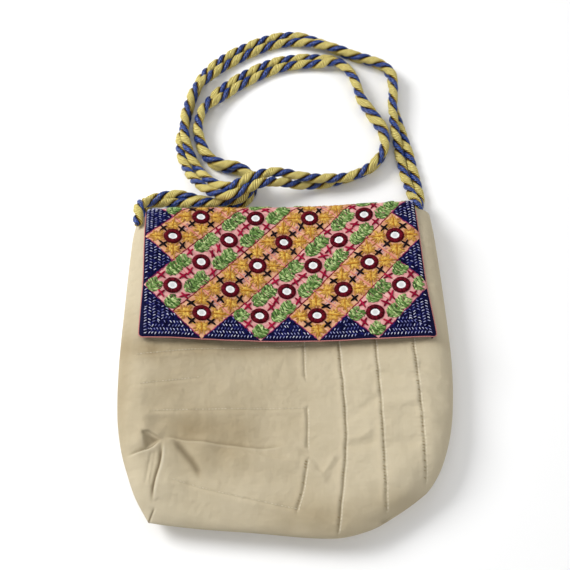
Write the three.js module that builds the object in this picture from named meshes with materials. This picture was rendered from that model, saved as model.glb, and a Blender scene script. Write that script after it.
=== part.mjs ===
// Mirror-work sling bag: a quilted cotton pouch lying on its back, an embroidered flap set with round
// mirrors, and a shoulder strap of two twisted ropes that lies in a spiral behind the mouth.
// Millimetres: X across the bag, Y from its bottom to its mouth, Z up from the surface it lies on.
import * as THREE from 'three';

// Pouch walls
const WALL = 2;
const SEAM_HEIGHT = 17;
const SEAM_GAP = 0.4;
const FRONT_MOUTH_Y = 129;
const BACK_MOUTH_Y = 131;
const FRONT_RIM_ROUND = 22;
const FRONT_BOTTOM_ROUND = 30;
const BACK_RIM_ROUND = 15;
const SAG_HALF_WIDTH = 116;
const MOUTH_DROOP = 5;
const MOUTH_DROOP_LENGTH = 20;
const LEFT_CORNER_Y = -127;
const RIGHT_CORNER_X = 100;

// Sections of the pouch from the mouth down: plan outline, height of the rim and sag of the middle
const SECTIONS = [
  { y: 131, left: -125.5, right: 122.5, rim: 37, sag: 12 },
  { y: 100, left: -127.6, right: 125, rim: 37, sag: 13 },
  { y: 40, left: -128.5, right: 127.7, rim: 35.5, sag: 13 },
  { y: -10, left: -128.6, right: 128.6, rim: 33.5, sag: 11 },
  { y: -50, left: -126, right: 125.2, rim: 32, sag: 9 },
  { y: -75, left: -121, right: 119, rim: 31, sag: 7 },
  { y: -95, left: -114, right: 110, rim: 30, sag: 5 },
  { y: -110, left: -107.5, right: 97, rim: 29, sag: 3 },
  { y: -127, left: -97, right: 68, rim: 28, sag: 1 },
];
const BOTTOM_EDGE = [
  { x: -97, y: -127 },
  { x: -60, y: -131 },
  { x: -25, y: -133.5 },
  { x: 34, y: -137.5 },
  { x: 60, y: -132 },
  { x: 76, y: -123.5 },
  { x: 90, y: -114.5 },
  { x: 100, y: -107 },
];

// Quilting: channels down the right half, and channels across the left half, as shares of the panel
const CHANNEL_DEPTH = 1.8;
const CHANNEL_WIDTH = 5;
const CHANNELS_DOWN = [0.56, 0.672, 0.782, 0.893];
const CHANNELS_ACROSS = [0.502, 0.59, 0.682, 0.8, 0.916];
const ACROSS_FROM = 0.04;

// Places of the panels' points, as shares of the panel: close together at the rim and the quilting
const RIM_STOPS = [0, 0.012, 0.035, 0.07];
const FRONT_FIELD_FROM = 0.11;
const FRONT_ACROSS_STEPS = [12, 6];
const FRONT_MOUTH_SHARE = 0.08;
const FRONT_DOWN_STEPS = [2, 5, 2, 2, 4, 4];
const FRONT_BOTTOM_STOPS = [0.945, 0.97, 0.988, 1];
const BACK_FIELD_FROM = 0.12;
const BACK_ACROSS_STEPS = 8;
const BACK_DOWN_STEPS = 9;

// Folds and dents of the front, each a soft ridge or groove along a line from one point to another
const FOLDS = [
  { name: 'corner seam ridge', from: [-89, -72], to: [-95, -122], width: 7, rise: 6 },
  { name: 'side fold', from: [-114, -84], to: [-101, -66], width: 6, rise: 4 },
  { name: 'side fold end', from: [-101, -66], to: [-89, -72], width: 6, rise: 4 },
  { name: 'corner pocket', from: [-100, -74], to: [-97, -78], width: 7, rise: -9 },
  { name: 'side hollow', from: [-104, -90], to: [-104, -114], width: 8, rise: -4 },
  { name: 'corner dent', from: [-80, -72], to: [-62, -100], width: 8, rise: -6 },
  { name: 'cross fold', from: [-76, -71], to: [0, -77], width: 6, rise: -3 },
  { name: 'cross ridge', from: [-40, -84], to: [14, -90], width: 7, rise: 2 },
  { name: 'left pucker', from: [12, -78], to: [24, -92], width: 5, rise: -2.5 },
  { name: 'right pucker', from: [42, -84], to: [32, -97], width: 5, rise: -2.5 },
];

// Flap
const FLAP_THICK = 3;
const FLAP_CLEAR = 0.6;
const FLAP_LIFT = 2.5;
const FLAP_LIFT_MIDDLE = 2.5;
const FLAP_LIFT_LENGTH = 40;
const FLAP_HALF = 111.2;
const FLAP_BOTTOM_Y = 8;
const FLAP_CORNER = 8;
const FLAP_LEAN = -0.052;
const FLAP_LEAN_ZERO_Y = 44;
const FOLD_Y = 124;
const FOLD_REACH = 13.5;
const FLAP_TAIL = 10;
const FLAP_TAIL_TAPER = 12;
const FLAP_EDGE_SHARE = 0.94;
const FLAP_ACROSS_STEPS = [1, 18, 1];
const FLAP_UP_STEPS = [3, 10, 8, 1];
const PIPING_RADIUS = 0.8;
const PIPING_GAP = 0.6;
const PIPING_SIDES = 6;
const PIPING_TOP_Y = 122;
const PIPING_CORNER_SPACE = 6;
const PIPING_SIDE_STEPS = 12;
const PIPING_TURN_STEPS = 3;
const PIPING_BOTTOM_SPACE = 10;
const PIPING_BOTTOM_STEPS = 18;
const PIPING_SEAT_IN = 1;

// Mirrors in a diamond grid, with a stitched collar over the edge of each
const GRID_PITCH = 45;
const GRID_Y = 75.2;
const MIRROR_ROWS = [
  { row: 1, count: 4 },
  { row: 2, count: 5 },
  { row: 3, count: 4 },
  { row: 4, count: 5 },
  { row: 5, count: 4 },
];
const MIDDLE_ROW = 3;
const MIRROR_RADIUS = 4.6;
const MIRROR_THICK = 0.5;
const SEAT_GAP = 0.3;
const COLLAR_OUTER = 7;
const COLLAR_INNER = 3.5;
const COLLAR_HEIGHT = 1.7;
const COLLAR_EDGE = 0.9;
const COLLAR_SIDES = 10;

// Strap: two ropes side by side along one route; roll turns the pair from flat (0) to stacked (90)
const ROPE_DIAMETER = 8.5;
const ROPE_SIDES = 8;
const ROPE_SPACING = 9.3;
const ROPE_LOWEST = 4.6;
const ROUTE = [
  { x: 113.6, y: 122, lift: 6.5, roll: 90 },
  { x: 113.6, y: 137, lift: 5.5, roll: 85 },
  { x: 114.5, y: 154, lift: 0.8, roll: 40 },
  { x: 111, y: 179, lift: 0, roll: 0 },
  { x: 107.5, y: 205, lift: 0, roll: 5 },
  { x: 102.8, y: 234, lift: 0, roll: 48 },
  { x: 100.3, y: 265, lift: 0, roll: 88 },
  { x: 101.8, y: 289, lift: 0, roll: 88 },
  { x: 92.5, y: 307.5, lift: 0, roll: 60 },
  { x: 70, y: 317, lift: 0, roll: 60 },
  { x: 50, y: 327, lift: 0, roll: 65 },
  { x: 31, y: 337, lift: 0, roll: 30 },
  { x: 3, y: 344.5, lift: 0, roll: 0 },
  { x: -29.5, y: 333.5, lift: 0, roll: 0 },
  { x: -57.5, y: 315, lift: 0, roll: 0 },
  { x: -75.5, y: 295, lift: 0, roll: 30 },
  { x: -86, y: 271, lift: 0, roll: 85 },
  { x: -92.3, y: 240, lift: 0, roll: 88 },
  { x: -93, y: 213, lift: 0, roll: 48 },
  { x: -83.5, y: 187, lift: 3, roll: 0 },
  { x: -68, y: 161, lift: 15, roll: 0 },
  { x: -47, y: 151, lift: 20, roll: 0 },
  { x: -25, y: 163, lift: 20, roll: 0 },
  { x: -2, y: 169, lift: 12, roll: 30 },
  { x: 24, y: 169.5, lift: 1.5, roll: 85 },
  { x: 61, y: 178.5, lift: 0, roll: 120 },
  { x: 85, y: 197, lift: 0, roll: 96 },
  { x: 89.5, y: 228, lift: 0, roll: 86 },
  { x: 72.5, y: 260, lift: 0, roll: 76 },
  { x: 66, y: 287, lift: 0, roll: 72 },
  { x: 53, y: 310.5, lift: 0, roll: 45 },
  { x: 28, y: 315, lift: 0, roll: 12 },
  { x: -4, y: 312, lift: 0, roll: 0 },
  { x: -34, y: 296.5, lift: 0, roll: 0 },
  { x: -60.5, y: 274, lift: 0, roll: 18 },
  { x: -78.5, y: 247, lift: 0, roll: 75 },
  { x: -78, y: 217, lift: 0, roll: 85 },
  { x: -62, y: 190, lift: 0, roll: 98 },
  { x: -42, y: 186, lift: 0, roll: 102 },
  { x: -28.5, y: 169.5, lift: 0, roll: 90 },
  { x: -37, y: 152, lift: 0, roll: 90 },
  { x: -64, y: 150, lift: 0, roll: 58 },
  { x: -95, y: 156, lift: 0, roll: 0 },
];
const ROUTE_STATIONS = 64;
// Past the route, one rope lies over the pouch's top left corner and the other ends behind it
const ROPE_ENDS = {
  strap_rope_a: [
    { x: -110, y: 149, z: 9 },
    { x: -121, y: 142.5, z: 19 },
    { x: -126, y: 132, z: 31 },
    { x: -125.8, y: 120, z: 35.5 },
    { x: -126, y: 108, z: 35.5 },
  ],
  strap_rope_b: [
    { x: -109, y: 158.5, z: 4.6 },
    { x: -119, y: 154, z: 4.6 },
    { x: -123.5, y: 145, z: 4.7 },
    { x: -124.2, y: 138, z: 5.6 },
    { x: -124.2, y: 131.8, z: 7 },
  ],
};

const cotton = new THREE.MeshStandardMaterial({ color: 0xd0c5a9, roughness: 0.9, metalness: 0 });
const embroidery = new THREE.MeshStandardMaterial({ color: 0xe3a36b, roughness: 0.85, metalness: 0 });
const salmon = new THREE.MeshStandardMaterial({ color: 0xe08a80, roughness: 0.8, metalness: 0 });
const maroon = new THREE.MeshStandardMaterial({ color: 0x640a23, roughness: 0.6, metalness: 0 });
const silver = new THREE.MeshStandardMaterial({ color: 0xdcdcdc, roughness: 0.05, metalness: 1 });
const rope = new THREE.MeshStandardMaterial({ color: 0xc8b26a, roughness: 0.7, metalness: 0 });

const bag = new THREE.Group();

function addPiece(name, geometry, material, parent = bag) {
  const piece = new THREE.Mesh(geometry, material);
  piece.name = name;
  parent.add(piece);
  return piece;
}

// Value of one column of a table at a place between its rows, on a smooth curve through them
function along(rows, placeKey, valueKey, place) {
  const rising = rows[rows.length - 1][placeKey] > rows[0][placeKey];
  let k = 0;
  while (k < rows.length - 2 && (place > rows[k + 1][placeKey]) === rising) k += 1;
  const slope = (i) => {
    const a = rows[Math.max(i - 1, 0)];
    const b = rows[Math.min(i + 1, rows.length - 1)];
    return (b[valueKey] - a[valueKey]) / (b[placeKey] - a[placeKey]);
  };
  const [low, high] = [rows[k], rows[k + 1]];
  const span = high[placeKey] - low[placeKey];
  const t = THREE.MathUtils.clamp((place - low[placeKey]) / span, 0, 1);
  const start = low[valueKey] * (1 + 2 * t) * (1 - t) ** 2 + slope(k) * span * t * (1 - t) ** 2;
  const end = high[valueKey] * t * t * (3 - 2 * t) + slope(k + 1) * span * t * t * (t - 1);
  return start + end;
}

const section = (key, y) => along(SECTIONS, 'y', key, y);
const bottomY = (x) => along(BOTTOM_EDGE, 'x', 'y', x);

// Plan position at share u across and share v down a panel, blended from its four edges
function planAt(u, v, mouthY) {
  const rightCornerY = bottomY(RIGHT_CORNER_X);
  const leftCornerX = section('left', LEFT_CORNER_Y);
  const leftY = THREE.MathUtils.lerp(mouthY, LEFT_CORNER_Y, v);
  const rightY = THREE.MathUtils.lerp(mouthY, rightCornerY, v);
  const bottomX = THREE.MathUtils.lerp(leftCornerX, RIGHT_CORNER_X, u);
  const across = new THREE.Vector2(section('left', leftY), leftY)
    .lerp(new THREE.Vector2(section('right', rightY), rightY), u);
  const topLeft = new THREE.Vector2(section('left', mouthY), mouthY);
  const topRight = new THREE.Vector2(section('right', mouthY), mouthY);
  const down = topLeft.clone().lerp(topRight, u).lerp(new THREE.Vector2(bottomX, bottomY(bottomX)), v);
  const bottomLeft = new THREE.Vector2(leftCornerX, LEFT_CORNER_Y);
  const bottomRight = new THREE.Vector2(RIGHT_CORNER_X, rightCornerY);
  const corners = topLeft.lerp(topRight, u).lerp(bottomLeft.lerp(bottomRight, u), v);
  return across.add(down).sub(corners);
}

// Share of the full rise at a distance from an edge: a quarter of an ellipse
function rounded(distance, reach) {
  const t = THREE.MathUtils.clamp(1 - distance / reach, 0, 1);
  return Math.sqrt(1 - t * t);
}

function rimShare(x, y, sideReach, bottomReach) {
  const left = rounded(x - section('left', y), sideReach);
  const right = rounded(section('right', y) - x, sideReach);
  const bottom = rounded(y - bottomY(x), bottomReach);
  return left * right * bottom;
}

// Share of what happens at the pouch's middle: 1 there, fading to 0 at its sides
function middleShare(x) {
  return Math.max(1 - (x / SAG_HALF_WIDTH) ** 2, 0) ** 2;
}

// Height of the front where it is smooth: the rim less the sag of the empty middle
function frontTop(x, y) {
  return section('rim', y) - section('sag', y) * middleShare(x);
}

function foldHeight(x, y) {
  let height = 0;
  for (const fold of FOLDS) {
    const [dx, dy] = [fold.to[0] - fold.from[0], fold.to[1] - fold.from[1]];
    const t = ((x - fold.from[0]) * dx + (y - fold.from[1]) * dy) / (dx * dx + dy * dy);
    const near = THREE.MathUtils.clamp(t, 0, 1);
    const away = Math.hypot(x - fold.from[0] - near * dx, y - fold.from[1] - near * dy);
    height += fold.rise * Math.exp(-((away / fold.width) ** 2));
  }
  return height;
}

function channelDepth(u, v, width, length) {
  let depth = 0;
  for (const at of CHANNELS_DOWN) {
    depth = Math.max(depth, Math.exp(-((((u - at) * width) / CHANNEL_WIDTH) ** 2)));
  }
  const inLeft = u > ACROSS_FROM && u < CHANNELS_DOWN[0];
  for (const at of CHANNELS_ACROSS) {
    if (inLeft) depth = Math.max(depth, Math.exp(-((((v - at) * length) / CHANNEL_WIDTH) ** 2)));
  }
  return CHANNEL_DEPTH * depth;
}

function frontPoint(u, v) {
  const { x, y } = planAt(u, v, FRONT_MOUTH_Y);
  const width = section('right', y) - section('left', y);
  const length = FRONT_MOUTH_Y - LEFT_CORNER_Y;
  const mouth = Math.max(1 - (FRONT_MOUTH_Y - y) / MOUTH_DROOP_LENGTH, 0);
  const smooth = frontTop(x, y) - MOUTH_DROOP * mouth ** 2;
  const top = smooth + foldHeight(x, y) - channelDepth(u, v, width, length);
  const foot = SEAM_HEIGHT + SEAM_GAP / 2;
  const share = rimShare(x, y, FRONT_RIM_ROUND, FRONT_BOTTOM_ROUND);
  return new THREE.Vector3(x, y, foot + (top - foot) * share);
}

function backPoint(u, v) {
  const { x, y } = planAt(u, v, BACK_MOUTH_Y);
  const share = rimShare(x, y, BACK_RIM_ROUND, BACK_RIM_ROUND);
  return new THREE.Vector3(x, y, (SEAM_HEIGHT - SEAM_GAP / 2) * (1 - share));
}

// Closed wall from a grid of points on its outer face, thickened towards the inside.
// seamEdges names the grid edges whose cut faces stay level, so that two panels meet squarely there.
function wallFromGrid(grid, thickness, { flip = false, seamEdges = [] } = {}) {
  const rows = grid.length;
  const columns = grid[0].length;
  const outer = grid.flat();
  const normals = outer.map(() => new THREE.Vector3());
  const index = [];
  const quad = (a, b, c, d) => index.push(...(flip ? [a, c, b, a, d, c] : [a, b, c, a, c, d]));
  for (let i = 0; i < rows - 1; i += 1) {
    for (let j = 0; j < columns - 1; j += 1) {
      const ring = [i * columns + j, (i + 1) * columns + j, (i + 1) * columns + j + 1, i * columns + j + 1];
      quad(...ring);
      const one = outer[ring[2]].clone().sub(outer[ring[0]]);
      const other = outer[ring[3]].clone().sub(outer[ring[1]]);
      const normal = one.cross(other).normalize().multiplyScalar(flip ? -1 : 1);
      for (const corner of ring) normals[corner].add(normal);
    }
  }
  const onSeam = (i, j) => (seamEdges.includes('left') && j === 0)
    || (seamEdges.includes('right') && j === columns - 1)
    || (seamEdges.includes('bottom') && i === rows - 1);
  const inner = outer.map((point, k) => {
    const normal = normals[k];
    if (onSeam(Math.floor(k / columns), k % columns)) normal.z = 0;
    return point.clone().addScaledVector(normal.normalize(), -thickness);
  });
  const count = outer.length;
  const skin = index.length;
  for (let k = 0; k < skin; k += 3) {
    index.push(index[k] + count, index[k + 2] + count, index[k + 1] + count);
  }
  const edge = (a, b) => quad(b, a, a + count, b + count);
  for (let j = 0; j < columns - 1; j += 1) {
    edge(j + 1, j);
    edge((rows - 1) * columns + j, (rows - 1) * columns + j + 1);
  }
  for (let i = 0; i < rows - 1; i += 1) {
    edge(i * columns, (i + 1) * columns);
    edge((i + 2) * columns - 1, (i + 1) * columns - 1);
  }
  const geometry = new THREE.BufferGeometry();
  geometry.setAttribute('position', new THREE.Float32BufferAttribute(
    [...outer, ...inner].flatMap((point) => point.toArray()), 3));
  geometry.setIndex(index);
  return geometry;
}

// Places from the first stop to the last, with a number of equal steps between each stop and the next
function stations(stops, steps) {
  const list = [stops[0]];
  steps.forEach((count, k) => {
    for (let step = 1; step <= count; step += 1) {
      list.push(THREE.MathUtils.lerp(stops[k], stops[k + 1], step / count));
    }
  });
  return list;
}

function addPanels() {
  const farRim = RIM_STOPS.map((stop) => 1 - stop).reverse();
  const across = [
    ...RIM_STOPS,
    ...stations([FRONT_FIELD_FROM, CHANNELS_DOWN[0], CHANNELS_DOWN[3]], FRONT_ACROSS_STEPS),
    ...farRim,
  ];
  const down = [
    ...stations([0, FRONT_MOUTH_SHARE, ...CHANNELS_ACROSS], FRONT_DOWN_STEPS),
    ...FRONT_BOTTOM_STOPS,
  ];
  const front = down.map((v) => across.map((u) => frontPoint(u, v)));
  const seamEdges = ['left', 'right', 'bottom'];
  addPiece('front_panel', wallFromGrid(front, WALL, { seamEdges }), cotton);

  const backField = [BACK_FIELD_FROM, 1 - BACK_FIELD_FROM];
  const backAcross = [...RIM_STOPS, ...stations(backField, [BACK_ACROSS_STEPS]), ...farRim];
  const backDown = [...stations([0, 1 - BACK_FIELD_FROM], [BACK_DOWN_STEPS]), ...farRim];
  const back = backDown.map((v) => backAcross.map((u) => backPoint(u, v)));
  addPiece('back_panel', wallFromGrid(back, WALL, { flip: true, seamEdges }), cotton);
}

// Flap: outer face at share s across (-1 to 1) and distance p up from its bottom edge
const foldFrom = FOLD_Y - FLAP_BOTTOM_Y;
const foldLength = Math.PI * FOLD_REACH;

function flapCentre(y) {
  return FLAP_LEAN * (Math.min(y, FOLD_Y) - FLAP_LEAN_ZERO_Y);
}

function flapFrontHeight(x, y) {
  const nearBottom = Math.max(1 - (y - FLAP_BOTTOM_Y) / FLAP_LIFT_LENGTH, 0) ** 2;
  const lift = (FLAP_LIFT + FLAP_LIFT_MIDDLE * middleShare(x)) * nearBottom;
  const share = rimShare(x, y, FRONT_RIM_ROUND, FRONT_BOTTOM_ROUND);
  const cloth = SEAM_HEIGHT + (frontTop(x, y) - SEAM_HEIGHT) * share;
  return cloth + FLAP_CLEAR + lift + FLAP_THICK;
}

function flapPoint(s, p) {
  const corner = THREE.MathUtils.clamp(1 - p / FLAP_CORNER, 0, 1);
  const taper = THREE.MathUtils.smoothstep(p, foldFrom + foldLength / 2, foldFrom + foldLength);
  const half = FLAP_HALF - FLAP_CORNER * (1 - Math.sqrt(1 - corner * corner)) - FLAP_TAIL_TAPER * taper;
  const y = FLAP_BOTTOM_Y + Math.min(p, foldFrom);
  const x = flapCentre(y) + s * half;
  const high = flapFrontHeight(x, y);
  if (p <= foldFrom) return new THREE.Vector3(x, y, high);
  const low = WALL + SEAM_GAP;
  const rise = (high - low) / 2;
  const turn = Math.PI * THREE.MathUtils.clamp((p - foldFrom) / foldLength, 0, 1);
  const tail = Math.max(p - foldFrom - foldLength, 0);
  return new THREE.Vector3(x, y + FOLD_REACH * Math.sin(turn) - tail, low + rise + rise * Math.cos(turn));
}

function addFlap() {
  const foldTo = foldFrom + foldLength;
  const across = stations([-1, -FLAP_EDGE_SHARE, FLAP_EDGE_SHARE, 1], FLAP_ACROSS_STEPS);
  const up = stations([0, FLAP_CORNER, foldFrom, foldTo, foldTo + FLAP_TAIL], FLAP_UP_STEPS);
  const grid = up.map((p) => across.map((s) => flapPoint(s, p)));
  addPiece('flap', wallFromGrid(grid, FLAP_THICK, { flip: true }), embroidery);
}

// A curve sampled at its own stations, so that neighbouring tubes keep their facets side by side
class StationCurve extends THREE.CatmullRomCurve3 {
  getPointAt(share) {
    return this.getPoint(share);
  }

  getTangentAt(share) {
    return this.getTangent(share);
  }
}

function tube(points, radius, sides, steps) {
  const ring = new THREE.Shape();
  for (let k = 0; k < sides; k += 1) {
    const angle = (2 * Math.PI * k) / sides;
    const [x, y] = [radius * Math.cos(angle), radius * Math.sin(angle)];
    if (k === 0) ring.moveTo(x, y);
    else ring.lineTo(x, y);
  }
  ring.closePath();
  const extrudePath = new StationCurve(points);
  return new THREE.ExtrudeGeometry(ring, { steps, bevelEnabled: false, extrudePath });
}

// Piping: round the left, bottom and right edges of the flap, a little way out from it
function addPiping() {
  const out = PIPING_RADIUS + PIPING_GAP;
  const turnRadius = FLAP_CORNER + out;
  const cornerY = FLAP_BOTTOM_Y + FLAP_CORNER;
  const cornerOut = FLAP_HALF - FLAP_CORNER;
  const bottomOut = cornerOut - PIPING_BOTTOM_SPACE;
  const seatOut = FLAP_HALF - PIPING_SEAT_IN;
  const at = (x, y) => {
    const seatX = THREE.MathUtils.clamp(x, flapCentre(y) - seatOut, flapCentre(y) + seatOut);
    const height = flapFrontHeight(seatX, Math.max(y, FLAP_BOTTOM_Y)) - FLAP_THICK / 2;
    return new THREE.Vector3(x, y, height);
  };
  const sideStations = stations([PIPING_TOP_Y, cornerY + PIPING_CORNER_SPACE], [PIPING_SIDE_STEPS]);
  const turnStations = stations([0, Math.PI / 2], [PIPING_TURN_STEPS]);
  const sidePoints = (side) => [
    ...sideStations.map((y) => at(flapCentre(y) + side * (FLAP_HALF + out), y)),
    ...turnStations.map((angle) => at(
      flapCentre(cornerY) + side * (cornerOut + turnRadius * Math.cos(angle)),
      cornerY - turnRadius * Math.sin(angle),
    )),
  ];
  const bottomPoints = stations([-bottomOut, bottomOut], [PIPING_BOTTOM_STEPS])
    .map((x) => at(flapCentre(cornerY) + x, FLAP_BOTTOM_Y - out));
  const points = [...sidePoints(-1), ...bottomPoints, ...sidePoints(1).reverse()];
  addPiece('flap_piping', tube(points, PIPING_RADIUS, PIPING_SIDES, points.length - 1), salmon);
}

function collarGeometry() {
  const seatTop = SEAT_GAP + MIRROR_THICK + SEAT_GAP;
  const seat = MIRROR_RADIUS + SEAT_GAP;
  const crest = (COLLAR_INNER + COLLAR_OUTER) / 2;
  const profile = [
    [seat, SEAT_GAP],
    [COLLAR_OUTER, SEAT_GAP],
    [COLLAR_OUTER, COLLAR_EDGE],
    [crest, COLLAR_HEIGHT],
    [COLLAR_INNER, seatTop],
    [seat, seatTop],
    [seat, SEAT_GAP],
  ].map(([r, h]) => new THREE.Vector2(r, h));
  return new THREE.LatheGeometry(profile, COLLAR_SIDES).rotateX(Math.PI / 2);
}

function addMirrors() {
  let number = 0;
  for (const { row, count } of MIRROR_ROWS) {
    for (let k = 0; k < count; k += 1) {
      number += 1;
      const label = String(number).padStart(2, '0');
      const y = GRID_Y - ((row - MIDDLE_ROW) * GRID_PITCH) / 2;
      const x = (k - (count - 1) / 2) * GRID_PITCH + FLAP_LEAN * (y - GRID_Y);
      const s = (x - flapCentre(y)) / FLAP_HALF;
      const p = y - FLAP_BOTTOM_Y;
      const centre = flapPoint(s, p);
      const step = COLLAR_OUTER / 2;
      const acrossStep = flapPoint(s + step / FLAP_HALF, p).sub(flapPoint(s - step / FLAP_HALF, p));
      const upStep = flapPoint(s, p + step).sub(flapPoint(s, p - step));
      const normal = acrossStep.cross(upStep).normalize();
      const seat = new THREE.Group();
      seat.position.copy(centre);
      seat.quaternion.setFromUnitVectors(new THREE.Vector3(0, 0, 1), normal);
      bag.add(seat);
      const disc = new THREE.CylinderGeometry(MIRROR_RADIUS, MIRROR_RADIUS, MIRROR_THICK, COLLAR_SIDES)
        .rotateX(Math.PI / 2)
        .translate(0, 0, SEAT_GAP + MIRROR_THICK / 2);
      addPiece(`mirror_${label}`, disc, silver, seat);
      addPiece(`mirror_collar_${label}`, collarGeometry(), maroon, seat);
    }
  }
}

// Lift and roll between two rows of the route, eased so that neither overshoots
function routeValue(key, share) {
  const place = share * (ROUTE.length - 1);
  const k = Math.min(Math.floor(place), ROUTE.length - 2);
  const eased = THREE.MathUtils.smoothstep(place - k, 0, 1);
  return THREE.MathUtils.lerp(ROUTE[k][key], ROUTE[k + 1][key], eased);
}

// Each rope keeps half the spacing from the route, turned about it by the roll
function addRopes() {
  const half = ROPE_SPACING / 2;
  const centreline = new THREE.CatmullRomCurve3(ROUTE.map(({ x, y }) => new THREE.Vector3(x, y, 0)));
  const shares = stations([0, 1], [ROUTE_STATIONS]);
  for (const [name, side] of [['strap_rope_a', 1], ['strap_rope_b', -1]]) {
    const points = shares.map((share) => {
      const middle = centreline.getPoint(share);
      const ahead = centreline.getTangent(share);
      const roll = THREE.MathUtils.degToRad(routeValue('roll', share));
      const flat = side * half * Math.cos(roll);
      const height = ROPE_LOWEST + routeValue('lift', share) + half * Math.sin(roll) * (1 + side);
      return new THREE.Vector3(middle.x - ahead.y * flat, middle.y + ahead.x * flat, height);
    });
    for (const { x, y, z } of ROPE_ENDS[name]) points.push(new THREE.Vector3(x, y, z));
    addPiece(name, tube(points, ROPE_DIAMETER / 2, ROPE_SIDES, points.length - 1), rope);
  }
}

addPanels();
addFlap();
addPiping();
addMirrors();
addRopes();

export default bag;
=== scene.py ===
# %% [markdown]
# # Mirror-work sling bag
#
# A quilted cotton pouch lies on its back. Its flap is covered in coloured stitches and small round
# mirrors, and its strap is a pair of two-coloured ropes that lies in a spiral behind the mouth.
# Every piece below is a numpy surface in millimetres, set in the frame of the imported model.

import bpy
import numpy as np
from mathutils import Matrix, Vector


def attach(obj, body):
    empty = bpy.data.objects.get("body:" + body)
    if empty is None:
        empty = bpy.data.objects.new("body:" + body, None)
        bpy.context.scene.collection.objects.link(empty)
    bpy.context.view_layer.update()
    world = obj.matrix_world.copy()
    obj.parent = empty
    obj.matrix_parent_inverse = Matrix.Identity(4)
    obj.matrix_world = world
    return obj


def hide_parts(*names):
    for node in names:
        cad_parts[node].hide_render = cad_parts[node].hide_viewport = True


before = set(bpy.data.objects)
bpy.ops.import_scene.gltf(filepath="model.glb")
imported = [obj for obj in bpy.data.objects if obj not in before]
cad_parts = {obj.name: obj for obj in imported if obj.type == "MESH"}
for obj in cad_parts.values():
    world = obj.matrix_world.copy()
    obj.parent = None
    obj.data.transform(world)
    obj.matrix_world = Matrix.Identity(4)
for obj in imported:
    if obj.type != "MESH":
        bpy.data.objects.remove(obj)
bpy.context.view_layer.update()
MM = 0.001

# %% [markdown]
# ## Camera
#
# The bag was seen from above its lower edge, looking down at about 62 degrees. A camera only needs a
# place, a point to look at and a lens; `to_track_quat` turns the line between them into a rotation.

# %% Camera
CAMERA_PLACE = Vector((-0.3, -255.5, 617.0)) * MM
CAMERA_AIM = Vector((-0.3, 50.6, 41.4)) * MM
camera_data = bpy.data.cameras.new("bag_camera")
camera_data.sensor_width = 36.0
camera_data.lens = 52.7
camera = bpy.data.objects.new("bag_camera", camera_data)
camera.location = CAMERA_PLACE
camera.rotation_euler = (CAMERA_AIM - CAMERA_PLACE).to_track_quat("-Z", "Y").to_euler()
bpy.context.collection.objects.link(camera)
bpy.context.scene.camera = camera
print("camera", round((CAMERA_AIM - CAMERA_PLACE).length, 3), "m from what it looks at")

# %% [markdown]
# ## From arrays to a mesh
#
# A mesh is four lists: points, corners, faces and what each corner carries. `foreach_set` fills each
# list from a whole numpy array at once, which is far quicker than adding points one by one.
# Each point may also carry a shade, a number from 0 to 1 that its material turns into a colour.


# %% Mesh helper
def add_piece(name, points, faces, corner_uv, shade=None, face_slot=None):
    """A mesh object from arrays: points in mm, a list of face arrays (corner numbers in rows), one
    (u, v) pair per corner in the same order, a shade per point and a material slot per face."""
    points = np.asarray(points, float).reshape(-1, 3)
    corners = np.concatenate([np.asarray(f).ravel() for f in faces]).astype(np.int32)
    sizes = np.concatenate([np.full(len(f), np.asarray(f).shape[1]) for f in faces])
    starts = np.concatenate([[0], np.cumsum(sizes)[:-1]]).astype(np.int32)
    mesh = bpy.data.meshes.new(name)
    mesh.vertices.add(len(points))
    mesh.vertices.foreach_set("co", (points * MM).astype(np.float32).ravel())
    mesh.loops.add(len(corners))
    mesh.loops.foreach_set("vertex_index", corners)
    mesh.polygons.add(len(starts))
    mesh.polygons.foreach_set("loop_start", starts)
    mesh.polygons.foreach_set("use_smooth", np.ones(len(starts), bool))
    if face_slot is not None:
        mesh.polygons.foreach_set("material_index", np.asarray(face_slot, np.int32))
    uv = np.concatenate([np.asarray(c, float).reshape(-1, 2) for c in corner_uv])
    layer = mesh.uv_layers.new(name="UVMap")
    layer.uv.foreach_set("vector", uv.astype(np.float32).ravel())
    if shade is not None:
        tone = mesh.attributes.new("shade", "FLOAT", "POINT")
        tone.data.foreach_set("value", np.asarray(shade, np.float32).ravel())
    mesh.update(calc_edges=True)
    mesh.validate()
    piece = bpy.data.objects.new(name, mesh)
    bpy.context.collection.objects.link(piece)
    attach(piece, "root")
    print(name, len(points), "points,", int((sizes - 2).sum()), "triangles")
    return piece


def add_value(piece, label, values):
    """One more number per point for the material; points past the end of the list get 0."""
    full = np.zeros(len(piece.data.vertices), np.float32)
    full[:np.size(values)] = np.ravel(values)
    piece.data.attributes.new(label, "FLOAT", "POINT").data.foreach_set("value", full)


# %% [markdown]
# ## Strap
#
# The strap is two ropes side by side, each twisted from one yellow and one blue strand. A bevelled
# curve would give a plain tube, so each strand is an ellipse carried along a helix round the rope's
# line instead. The lines follow the route of the CAD ropes. Only the end of the first rope, which dips
# over the pouch's corner, lies a little closer in.

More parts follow.
